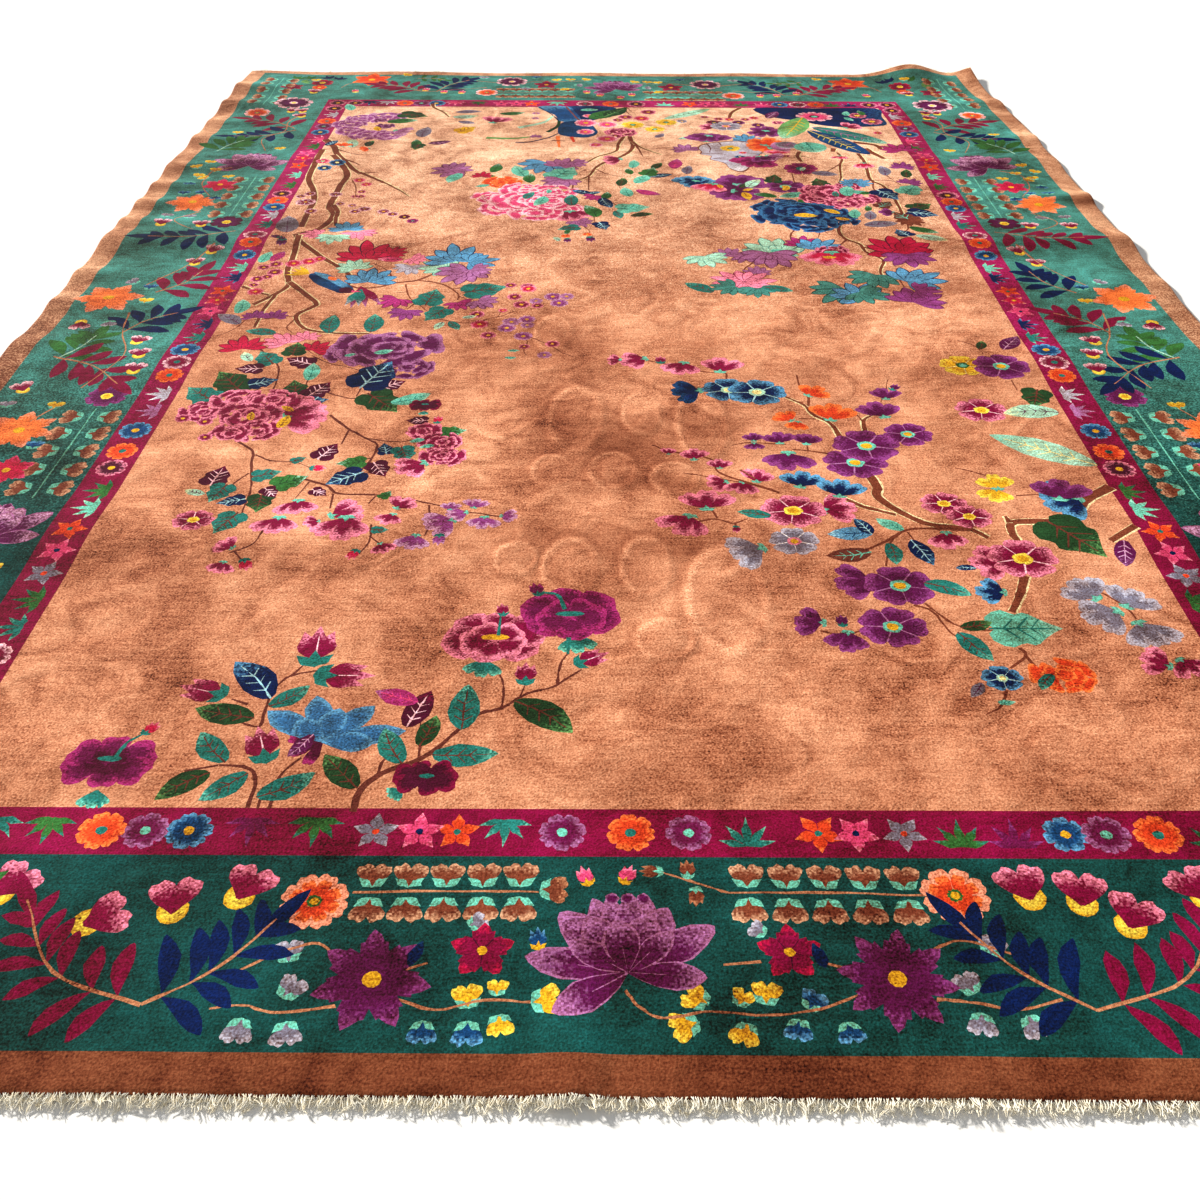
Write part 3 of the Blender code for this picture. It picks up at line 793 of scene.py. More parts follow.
for side in (-1, 1):
    mirrored = mirror(side)
    one_dye, other_dye = ("navy", "garnet") if side < 0 else ("garnet", "navy")

    def facing(degrees):
        return degrees if side > 0 else 180 - degrees

    draw_rail(mirrored(1.36, 2.17), mirrored(1.36, 1.78), 5, 0.021, 0.05, "aqua")
    draw_rail(mirrored(1.2, 0.99), mirrored(1.2, 0.6), 5, 0.021, 0.05, "aqua")
    draw_rail(mirrored(1.2, -0.6), mirrored(1.2, -0.98), 5, 0.021, 0.05, "aqua")
    draw_rail(mirrored(1.38, -1.72), mirrored(1.38, -1.98), 5, 0.012)
    draw_rosette(mirrored(1.25, 1.83), 0.076, 8, "plum", "blush", "lemon", "orchid", turn=15)
    draw_rosette(mirrored(1.25, 1.83), 0.058, 8, "plum", "maroon", "lemon", "blush", turn=15)
    draw_rosette(mirrored(1.365, 1.7), 0.05, 6, "salmon", "blush", "gold")
    draw_rosette(mirrored(1.365, 1.7), 0.036, 5, "scarlet", "orange", "gold", "teal")
    draw_great_frond(mirrored(1.18, 1.51), mirrored(1.38, 1.62), 4, "garnet", side * 0.1)
    draw_great_frond(mirrored(1.17, 1.49), mirrored(1.38, 1.40), 4, "navy", side * -0.1)
    draw_great_frond(mirrored(1.40, 1.24), mirrored(1.33, 1.36), 4, "leaf", side * -0.1, "mint")
    draw_lotus(mirrored(1.25, 1.12), 0.24, 90 + side * 12, "plum", "lilac")
    draw_star(mirrored(1.3, 0.9), 0.06, 6, "crimson", "rose", "gold")
    draw_star(mirrored(1.345, 0.735), 0.085, 7, "orange", "salmon", "gold")
    draw_rosette(mirrored(1.195, 0.57), 0.05, 6, "plum", "maroon", "gold", "lemon")
    draw_rosette(mirrored(1.195, -0.54), 0.05, 6, "plum", "violet", "gold", "lemon")
    draw_great_frond(mirrored(1.144, 0.485), mirrored(1.39, 0.42), 5, one_dye, side * -0.12)
    draw_great_frond(mirrored(1.26, 0.05), mirrored(1.17, 0.20), 4, other_dye, side * 0.12)
    draw_star(mirrored(1.375, 0.01), 0.095, 6, "orange", "salmon", "gold", turn=70)
    draw_great_frond(mirrored(1.27, -0.20), mirrored(1.16, -0.08), 4, one_dye, side * -0.12)
    draw_great_frond(mirrored(1.38, -0.36), mirrored(1.33, -0.22), 4, "leaf", side * 0.1, "mint")
    draw_great_frond(mirrored(1.39, -0.35), mirrored(1.19, -0.48), 5, other_dye, side * -0.1)
    draw_star(mirrored(1.34, -0.7), 0.085, 7, "orange", "salmon", "gold")
    draw_star(mirrored(1.3, -0.87), 0.06, 6, "crimson", "rose", "gold")
    draw_lotus(mirrored(1.25, -1.1), 0.24, 90 - side * 12, "plum", "lilac")
    draw_great_frond(mirrored(1.41, -1.25), mirrored(1.33, -1.38), 4, "leaf", side * 0.1, "mint")
    draw_great_frond(mirrored(1.21, -1.45), mirrored(1.36, -1.36), 4, "navy", side * 0.1)
    draw_great_frond(mirrored(1.22, -1.5), mirrored(1.37, -1.6), 4, "garnet", side * -0.1)
    draw_rosette(mirrored(1.25, -1.78), 0.07, 8, "plum", "blush", "lemon", "orchid", turn=15)
    draw_rosette(mirrored(1.365, -1.66), 0.046, 6, "salmon", "orange", "gold", "teal")
    draw_nuts("""
        blush 1200 1970 46 90, blush 1240 1710 46 100, blush 1190 1710 46 70, blush 1180 1650 46 60,
        blush 1390 530 46 90, blush 1265 530 46 80, blush 1180 320 46 100, blush 1205 240 46 80,
        blush 1400 -130 46 260, blush 1215 -270 46 100, blush 1180 -350 46 80, blush 1170 -430 46 90,
        blush 1200 -1680 46 80, blush 1160 -1600 46 100, blush 1400 -520 46 60, yellow 1380 1440 34 90,
        yellow 1180 1260 34 80, yellow 1390 1090 34 100, yellow 1410 1040 34 60, yellow 1350 1020 34 90,
        yellow 1400 975 34 100, yellow 1360 960 34 40, yellow 1290 965 34 80, blue 1400 920 34 270,
        blue 1400 810 34 90, blue 1340 815 34 80, blue 1285 800 34 270, grey 1400 610 34 100,
        grey 1320 600 34 80, blue 1285 70 34 90, grey 1330 110 34 40, grey 1325 -130 34 260,
        yellow 1270 -20 34 90, grey 1410 -600 34 80, yellow 1300 -600 34 90, blue 1400 -800 34 270,
        blue 1280 -780 34 90, yellow 1400 -930 34 90, yellow 1360 -970 34 60, yellow 1410 -1060 34 90,
        yellow 1180 -1240 34 80, yellow 1390 -1460 34 90, yellow 1220 2140 34 80
    """, mirrored, facing)
    draw_stems("""
        4.5 3 1200 1660 1220 1580 1210 1480 1270 1380 1230 1250,
        4.5 3 1300 1060 1360 1020 1360 900 1310 800, 4.5 3 1300 660 1360 580 1280 500,
        4.5 3 1180 380 1230 220 1300 100, 4.5 3 1290 -80 1270 -200 1220 -340 1270 -500,
        4.5 3 1300 -600 1330 -660, 4.5 3 1300 -940 1280 -1000, 4.5 3 1230 -1220 1210 -1480 1200 -1620
    """, "tan", place=mirrored)

# ---- The field's flowers ---------------------------------------------------------------
# Flowering branches reach into the field from its sides and ends. Each kind of leaf and
# flower is one shape in several sets of dyes, and stands where its branch carries it.

# leaves: at the stalk, at the tip, ribs
LEAF_DYES = dict(
    teal=("teal", "aqua", "bark"), green=("forest", "grass", "bark"), navy=("navy", "sky", "ice"),
    maroon=("maroon", "garnet", "blush"), magenta=("orchid", "mauve", "rose"),
    purple=("plum", "mauve", "lilac"), mint=("aqua", "mint", "teal"), pale=("mint", "straw", "plum"),
    brown=("bark", "cocoa", "aqua"), grey=("slate", "silver", "plum"),
    grass=("leaf", "mint", "forest"), sky=("sky", "ice", "royal"),
    rose=("rose", "blush", "maroon"), lemon=("gold", "lemon", "cocoa"))
# flowers: at the heart, at the rim, between petals, eye, round the eye
FLOWER_DYES = dict(
    pink=("garnet", "pink", "blush", "gold", "lemon"), rose=("crimson", "pink", "blush", "gold", "aqua"),
    magenta=("grape", "orchid", "rose", "teal", "teal"),
    purple=("plum", "violet", "mauve", "gold", "aqua"),
    blue=("navy", "sky", "ice", "straw", "mint"),
    orange=("scarlet", "orange", "salmon", "gold", "salmon"),
    yellow=("gold", "lemon", "straw", "aqua", "leaf"), grey=("slate", "silver", "white", "gold", "pink"),
    lilac=("mauve", "lilac", "white", "gold", "straw"), sky=("denim", "sky", "ice", "gold", "teal"),
    mauve=("violet", "lilac", "blush", "gold", "straw"),
    garnet=("maroon", "garnet", "rose", "gold", "teal"),
    navy=("navy", "royal", "sky", "gold", "lemon"), snow=("garnet", "blush", "white", "gold", "garnet"))
# petals like scales: heart, edge
PEONY_DYES = dict(pink=("garnet", "pink"), purple=("plum", "mauve"), blue=("navy", "denim"),
                  orange=("scarlet", "orange"), lilac=("violet", "lilac"), rosy=("rose", "blush"))
# hands of leaflets: face, outline
MAPLE_DYES = dict(blue=("sky", "navy"), teal=("sea", "jade"), mint=("mint", "sea"),
                  lilac=("mauve", "plum"), garnet=("crimson", "maroon"), rose=("pink", "garnet"),
                  grey=("silver", "slate"), magenta=("orchid", "maroon"), purple=("violet", "plum"),
                  brown=("cocoa", "bark"))
KIND_SIZE = dict(half=0.88, plum=0.82, rose=0.98, maple=0.86)


def put(form, dye, spot, size, heading):
    """One leaf or flower of the field, by its form, dyes, middle, size and heading."""
    size *= KIND_SIZE.get(form, 1.0)
    way = toward(heading) * size
    stalk, tip = spot - way / 2, spot + way / 2
    if form == "leaf":
        core, rim, vein = LEAF_DYES[dye]
        draw_leaf(stalk, tip, size * 0.5, core, rim, vein, widest=0.42, blunt=0.8, ripple=0.08,
                  bend=hand.uniform(-0.07, 0.07))
    elif form == "ivy":
        core, rim, vein = LEAF_DYES[dye]
        draw_leaf(stalk, tip, size * 0.8, core, rim, vein,
                  outline=shaped(stalk, tip, size * 0.86, VINE_LEAF))
    elif form == "maple":
        face, outline = MAPLE_DYES[dye]
        draw_fan(spot - way * 0.36, heading, size * 0.84, 7, 184, size * 0.25, face, face,
                 edge=outline, form=LOBE, taper=0.26, uneven=0.07)
        draw_fan(spot - way * 0.36, heading, size * 0.4, 4, 80, size * 0.15, face, face,
                 edge=outline, form=LOBE, uneven=0.1)
    elif form == "peony":
        draw_peony(spot, size / 2, *PEONY_DYES[dye], turn=heading)
    else:
        core, rim, line, eye, eye_rim = FLOWER_DYES[dye]
        if form == "rose":
            draw_rosette(spot, size * 0.45, 5, core, rim, eye, eye_rim, line, turn=heading, flat=0.9)
        elif form == "plum":
            draw_rosette(spot, size / 2, 5, core, rim, eye, turn=heading + hand.uniform(-30, 30))
        elif form == "half":
            for angle in (-44, 40, -2) if size < 0.1 else (-58, 56, -22, 16):
                tip = spot - way * 0.34 + (0.8 * way * toward(angle + hand.uniform(-6, 6))
                                           * hand.uniform(0.9, 1.08))
                draw_scale(spot - way * 0.34, tip, size * 0.46, core, rim, heart=0.22)
            draw_fan(spot - way * 0.44, heading, size * 0.24, 3, 120, size * 0.12, "aqua", "teal",
                     form=LEAFLET)
        elif form == "bud":
            draw_bud(spot - way * 0.4, heading, size * 0.95, core, rim, "teal",
                     line if size > 0.06 else None)
        elif form == "cup":
            draw_fan(spot - way * 0.4, heading + 180, size * 0.24, 3, 70, size * 0.12, "teal", "aqua")
            draw_ring(spot, size * 0.54, 6, core, rim, 0.66, heading, 0.05, 6.0, fill=0.68)
            draw_ring(spot - way * 0.02, size * 0.3, 5, "maroon", core, 0.7, heading + 36, 0.0, 6.0,
                      fill=0.7)
            draw_disc(spot + way * 0.04, size * 0.13, eye_rim, flat=0.34, points=10)
        elif form == "bell":
            draw_fan(spot - way * 0.3, heading + 135, size * 0.4, 3, 80, size * 0.16, "maroon", "orchid")
            for angle, reach in ((-70, 0.95), (66, 0.9), (26, 0.8), (-30, 0.78), (-84, 0.6), (0, 0.56),
                                 (58, 0.5)):
                tip = spot + way * (reach * toward(angle) - 0.3)
                draw_scale(spot - way * 0.3, tip, size * 0.34, core, rim, LOBE)
        elif form == "double":
            draw_fan(spot - way * 0.36, heading + 180, size * 0.26, 3, 80, size * 0.13, "teal", "aqua")
            draw_ring(spot, size * 0.56, 6, core, rim, 0.76, heading, 0.05, 5.0, LOBE, 0.78)
            draw_ring(spot - way * 0.05, size * 0.36, 5, core, rim, 0.8, heading + 36, 0.0, 5.0,
                      fill=0.68)
            draw_disc(spot, size * 0.15, eye, flat=0.3, points=10)


def put_rows(rows):
    """Leaves and flowers: form, dye, place and size in millimetres, and heading if it is not 90."""
    for row in rows.split(","):
        form, dye, *numbers = row.split()
        across, along, size = (float(number) / 1000 for number in numbers[:3])
        put(form, dye, across + 1j * along, size, float(numbers[3]) if numbers[3:] else 90.0)


def put_all(stems, colour, edge, motifs):
    """A spray: its stems first, the thick ones with a lit edge, then all that they carry."""
    draw_stems(stems, colour, edge)
    put_rows(motifs)


# ---- The near left spray ---------------------------------------------------------------
# Three young stems rise out of the stripe with closed buds and broad leaves, and a longer
# one leans right to two open flowers. A single side-on flower stands at their left.

put_all("""
    7 5 -545 -1830 -545 -1775 -565 -1747 -610 -1742, 5 4 -530 -1830 -530 -1785,
    6 4 -512 -1830 -510 -1765 -485 -1725, 5 4 -610 -1742 -660 -1755,
    6 4 -620 -1635 -570 -1655 -568 -1620 -565 -1565 -545 -1530 -500 -1515, 5 3 -545 -1530 -525 -1495,
    5 3 -600 -1600 -630 -1588,
    12 4 -385 -1835 -380 -1790 -350 -1755 -310 -1735 -280 -1710 -250 -1668 -220 -1625 -180 -1607
    -140 -1572 -95 -1553 -50 -1510,
    6 4 -360 -1765 -355 -1730 -340 -1715, 5 3 -300 -1725 -305 -1670 -310 -1635,
    5 3 -180 -1605 -180 -1560 -190 -1520, 5 3 -90 -1550 -88 -1500 -76 -1470, 4 3 -150 -1577 -145 -1550
""", "bark", None, """
    cup magenta -785 -1735 150 92, bud rose -742 -1660 34 60, leaf green -655 -1785 90 218,
    leaf teal -592 -1786 85 222, leaf teal -497 -1782 95 32, leaf teal -630 -1702 90 130,
    leaf green -633 -1622 105 168, leaf navy -607 -1540 125 132, leaf teal -535 -1580 78 42,
    bell sky -452 -1645 140 80, leaf purple -492 -1698 60 240, bud pink -553 -1697 85 112,
    bud pink -682 -1567 85 165, bud pink -515 -1452 105 94, bud pink -455 -1528 100 0,
    leaf green -418 -1753 95 132, leaf teal -345 -1697 90 116, leaf green -294 -1662 75 76,
    leaf maroon -315 -1610 95 72, leaf magenta -357 -1580 80 160, leaf teal -240 -1605 110,
    leaf teal -228 -1716 105 2, leaf green -110 -1628 125 -38, cup garnet -287 -1765 100 40,
    double pink -205 -1425 175 80, double magenta -75 -1358 180 100, bud pink -198 -1347 36 100,
    bud magenta -140 -1286 42 110, bud pink -35 -1482 65 28, bud pink -145 -1522 58 92
""")
draw_stems("""
    8 4 -778 -1730 -770 -1695 -750 -1672, 8 4 -780 -1800 -768 -1830, 8 4 -200 -1420 -200 -1362,
    8 4 -85 -1345 -100 -1305 -128 -1296, 8 4 -75 -1425 -75 -1470
""", "teal")

# ---- The near right branch -------------------------------------------------------------
# An old branch comes out of the right stripe, forks over the field and carries pink,
# purple and grey flowers with single broad leaves.

put_all("""
    22 11 535 -860 550 -930 545 -970 580 -1030 630 -1075 700 -1090 735 -1120,
    13 9.5 440 -975 470 -975 510 -1010 570 -1040,
    24 14 1035 -930 970 -980 930 -1035 880 -1062 800 -1067 785 -1100 790 -1130,
    16 12 1035 -1080 970 -1130, 12 5 790 -1070 788 -1045, 18 12 775 -1240 750 -1300 722 -1350,
    8 4 710 -1450 715 -1472 680 -1505, 6 4 715 -1472 730 -1520,
    6 4 550 -1330 580 -1350 600 -1410 625 -1430, 5 4 570 -1325 610 -1385 650 -1400 690 -1402,
    5 4 370 -1405 410 -1417 450 -1400, 9 5 700 -1095 640 -1090 580 -1095 530 -1135 480 -1165,
    6 4 570 -1100 540 -1140 520 -1210, 4 3 580 -1100 592 -1140,
    6 4 160 -1070 205 -1057 240 -1072 270 -1055, 5 4 198 -1010 210 -1055, 5 4 245 -1070 243 -1085,
    6 3 345 -955 300 -925 220 -900 150 -880, 6 4 660 -1560 640 -1600 610 -1620,
    4 3 730 -857 760 -870 800 -895, 5 4 900 -1290 930 -1330 940 -1370, 5 4 830 -965 880 -960
""", "cocoa", "cream", """
    half pink 458 -1015 100 10, rose pink 365 -1025 150 80, half pink 190 -985 105,
    half pink 145 -1075 100 250, leaf teal 285 -1037 70 165, bud pink 245 -1093 26 270,
    half pink 220 -920 60 200, half pink 270 -935 65 260, half pink 305 -890 70 80,
    half blue 395 -905 85 80, half blue 472 -940 90 80, rose pink 675 -997 110 70,
    rose pink 715 -1047 105 95, half yellow 800 -915 75 95, half yellow 790 -962 70 255,
    half blue 918 -985 120 195, half purple 925 -945 110 75, ivy green 905 -1120 150 305,
    leaf purple 985 -1170 85 255, half pink 722 -1197 100 185, rose pink 785 -1187 150 85,
    leaf navy 670 -1216 40 180, half pink 655 -1128 75 268, leaf sky 468 -1105 90 185,
    leaf navy 497 -1082 62 115, leaf mint 550 -1075 65 140, leaf teal 540 -1172 70 272,
    leaf brown 455 -1172 90 188, leaf navy 597 -1167 85 290, half grey 262 -1167 100 205,
    rose grey 355 -1132 110, half purple 455 -1265 100 185, rose purple 535 -1272 150 95,
    half purple 355 -1380 75 175, bud purple 412 -1377 34, half purple 415 -1432 75 262,
    rose purple 500 -1393 140 70, leaf teal 622 -1282 90 335, ivy mint 735 -1397 130 0,
    leaf teal 635 -1447 90 300, half blue 700 -1290 75 175, leaf green 650 -1387 62 15,
    rose blue 660 -1530 80, peony orange 765 -1525 110, leaf teal 732 -1540 50 235,
    leaf grey 610 -1560 45 235, leaf mint 652 -1590 30 0, half grey 870 -1285 95 125,
    half grey 950 -1310 90 55, half grey 885 -1360 100 205, half grey 950 -1410 100 290,
    half pink 930 -1490 75 150, half pink 985 -1503 70 300
""")

# ---- The middle of the right side ------------------------------------------------------
# The same branch goes on towards the far end with blue and violet flowers; a few single
# blooms and a long pale leaf stand by the stripe.

put_all("""
    12 6 505 -740 490 -670 455 -630 440 -585 400 -545, 7 4 450 -590 455 -540 442 -500 440 -440,
    5 4 460 -650 420 -650, 12 5 565 -730 565 -660 590 -630, 6 4 565 -665 555 -625,
    4 3 620 -570 640 -520 655 -460, 5 3 380 -760 300 -755 260 -765, 6 4 490 -805 440 -790 390 -780,
    4 3 425 -785 425 -760, 7 4 345 -955 280 -915 225 -875 215 -830 170 -803 120 -790 85 -765,
    4 3 270 -865 300 -900, 4 3 950 -460 952 -510, 4 3 870 -245 905 -280 915 -330,
    5 4 270 -460 268 -430 220 -425 140 -390 80 -365
""", "cocoa", "cream", """
    half pink 50 -365 90 200, bud pink 115 -362 42, half pink 165 -405 90 255,
    half pink 260 -392 100 85, half pink 0 -362 50 180, half navy 172 -525 100 190,
    rose blue 270 -515 140, rose blue 337 -525 155 75, half orange 470 -520 75 50,
    half orange 500 -622 100 75, half orange 392 -643 60 130, half orange 415 -680 50 260,
    half purple 635 -530 70, bud purple 665 -497 35 50, half purple 612 -608 95 100,
    rose purple 655 -715 125 60, rose purple 520 -835 155 80, rose purple 555 -765 165 95,
    half purple 378 -828 105 265, half purple 365 -735 65 95, half purple 428 -738 65 80,
    half purple 310 -733 45, half purple 310 -768 40 270, half pink 120 -790 35, half pink 175 -805 60,
    half pink 228 -842 50, rose yellow 850 -390 125, rose purple 942 -395 155 70,
    leaf purple 1000 -262 100 55, leaf green 922 -275 55 70, rose pink 845 -605 135 80,
    ivy green 985 -548 95 250, leaf pale 955 -617 130 182
""")
draw_leaf(1.035 - 0.845j, 0.835 - 0.715j, 0.085, "mint", "aqua", "straw", pairs=5, ripple=0.1, ripples=5)

# ---- The middle of the left side -------------------------------------------------------
# A violet peony and a heap of pink ones, with dark leaves among them, and below them
# two thin branches that hang full of small pink and purple blossom.

put_all("""
    7 5 -650 -630 -600 -690 -550 -735 -520 -765 -525 -830 -540 -870, 5 4 -595 -700 -600 -760,
    5 3 -550 -735 -480 -750 -430 -735, 5 3 -522 -785 -470 -780 -420 -765, 4 3 -525 -820 -560 -830,
    7 4 -830 -750 -790 -790 -780 -840 -765 -900 -755 -950 -750 -1040,
    5 3 -780 -805 -740 -830 -690 -835 -645 -860, 5 3 -775 -880 -800 -930 -800 -975,
    7 4 -660 -900 -600 -930 -570 -960 -500 -965 -430 -980 -360 -1005 -300 -1030 -220 -1050,
    5 3 -640 -915 -655 -980, 5 3 -580 -960 -575 -1020, 5 3 -490 -970 -500 -1000,
    5 3 -375 -1005 -365 -1080 -370 -1120, 5 3 -480 -1080 -475 -1140 -490 -1180,
    4 3 -478 -1120 -450 -1150, 5 3 -690 -1100 -700 -1150 -740 -1180, 4 3 -730 -1175 -710 -1200,
    6 4 -890 -300 -860 -340 -820 -400 -810 -470 -810 -540, 4 3 -750 -340 -700 -380 -650 -400 -610 -420,
    5 3 -680 -520 -620 -550 -560 -545, 4 3 -735 -450 -735 -500, 5 3 -810 -250 -750 -330,
    4 3 -840 -500 -870 -530, 4 3 -600 -500 -605 -540
""", "bark", None, """
    maple garnet -940 -265 110 100, maple garnet -740 -285 90 60, maple rose -850 -240 100 130,
    maple rose -790 -215 70, ivy green -800 -300 80 92, ivy teal -860 -350 85 125,
    leaf pale -910 -345 60 120, ivy maroon -890 -408 70 182, ivy maroon -775 -370 80 155,
    leaf mint -735 -422 85 92, ivy green -920 -470 125 128, ivy teal -975 -530 105 140,
    ivy navy -840 -472 70 22, ivy green -757 -502 85 105, ivy maroon -700 -507 85 60,
    ivy navy -710 -567 90 15, ivy maroon -530 -485 75 30, ivy green -540 -570 125 -48,
    leaf mint -475 -550 100 28, cup garnet -438 -582 75 92, peony purple -500 -400 130 60,
    peony purple -660 -320 130 60, peony purple -570 -290 260, ivy navy -575 -435 145 66,
    leaf mint -575 -315 50 20, leaf mint -655 -335 30 20, peony pink -945 -610 120 60,
    half pink -710 -625 150 20, peony pink -880 -555 130 60, peony pink -800 -560 140 60,
    peony pink -840 -630 150 80, peony pink -800 -700 120, peony pink -860 -710 90,
    plum pink -985 -645 45, plum pink -930 -660 45, plum pink -910 -730 40, leaf lemon -830 -635 40 100,
    leaf lemon -750 -660 60 80, leaf lemon -755 -600 40 140, ivy maroon -625 -790 75 65,
    ivy maroon -500 -865 70 -60, ivy maroon -840 -890 80 82, ivy navy -500 -780 50 105,
    ivy navy -785 -992 60 200, ivy teal -455 -802 70 -70, ivy teal -735 -885 65 20,
    ivy teal -820 -960 75 255, ivy teal -772 -1078 85 250, ivy grass -565 -838 65 190,
    ivy green -725 -1000 75 275, ivy grass -680 -912 80 30, leaf pale -870 -955 50 160,
    ivy navy -568 -900 90 215, ivy maroon -712 -957 50 310, ivy maroon -610 -957 45 325,
    ivy maroon -447 -655 52 180, bud rose -400 -652 35, ivy grass -360 -705 65 10,
    peony pink -425 -700 90 60, peony pink -380 -750 110 60, peony pink -370 -810 100 60,
    half pink -430 -855 90 215, leaf mint -435 -745 35 200, leaf mint -410 -770 35 200,
    bud rose -632 -860 38 0, ivy teal -680 -825 35 30, rose pink -840 -1067 95 60,
    half pink -645 -1015 85 272, half pink -540 -1035 93 30, half pink -670 -1085 89 268,
    half pink -535 -1090 111 270, half pink -430 -1000 64 60, half pink -447 -1058 55 255,
    half pink -600 -1075 43 200, half pink -445 -1158 47 300, bud rose -500 -1180 35 250,
    half pink -752 -1155 55 150, half pink -745 -1222 51 262, bud rose -700 -1213 40 290,
    ivy teal -460 -1100 35 0, ivy grass -470 -965 35 60, half mauve -345 -1075 90 210,
    half mauve -312 -1040 55 200, half mauve -280 -1000 50 80, half mauve -257 -1070 60 270,
    half mauve -210 -1047 45 0, half mauve -388 -1137 65 265, bud mauve -340 -1130 40 270,
    half mauve -330 -1010 40
""")

# ---- The upper left branches -----------------------------------------------------------
# Old trunks with a pale lit side come out of the left stripe. They carry maple leaves in
# many dyes and end in plum blossom; above them hangs a wreath of
# lilac peonies.

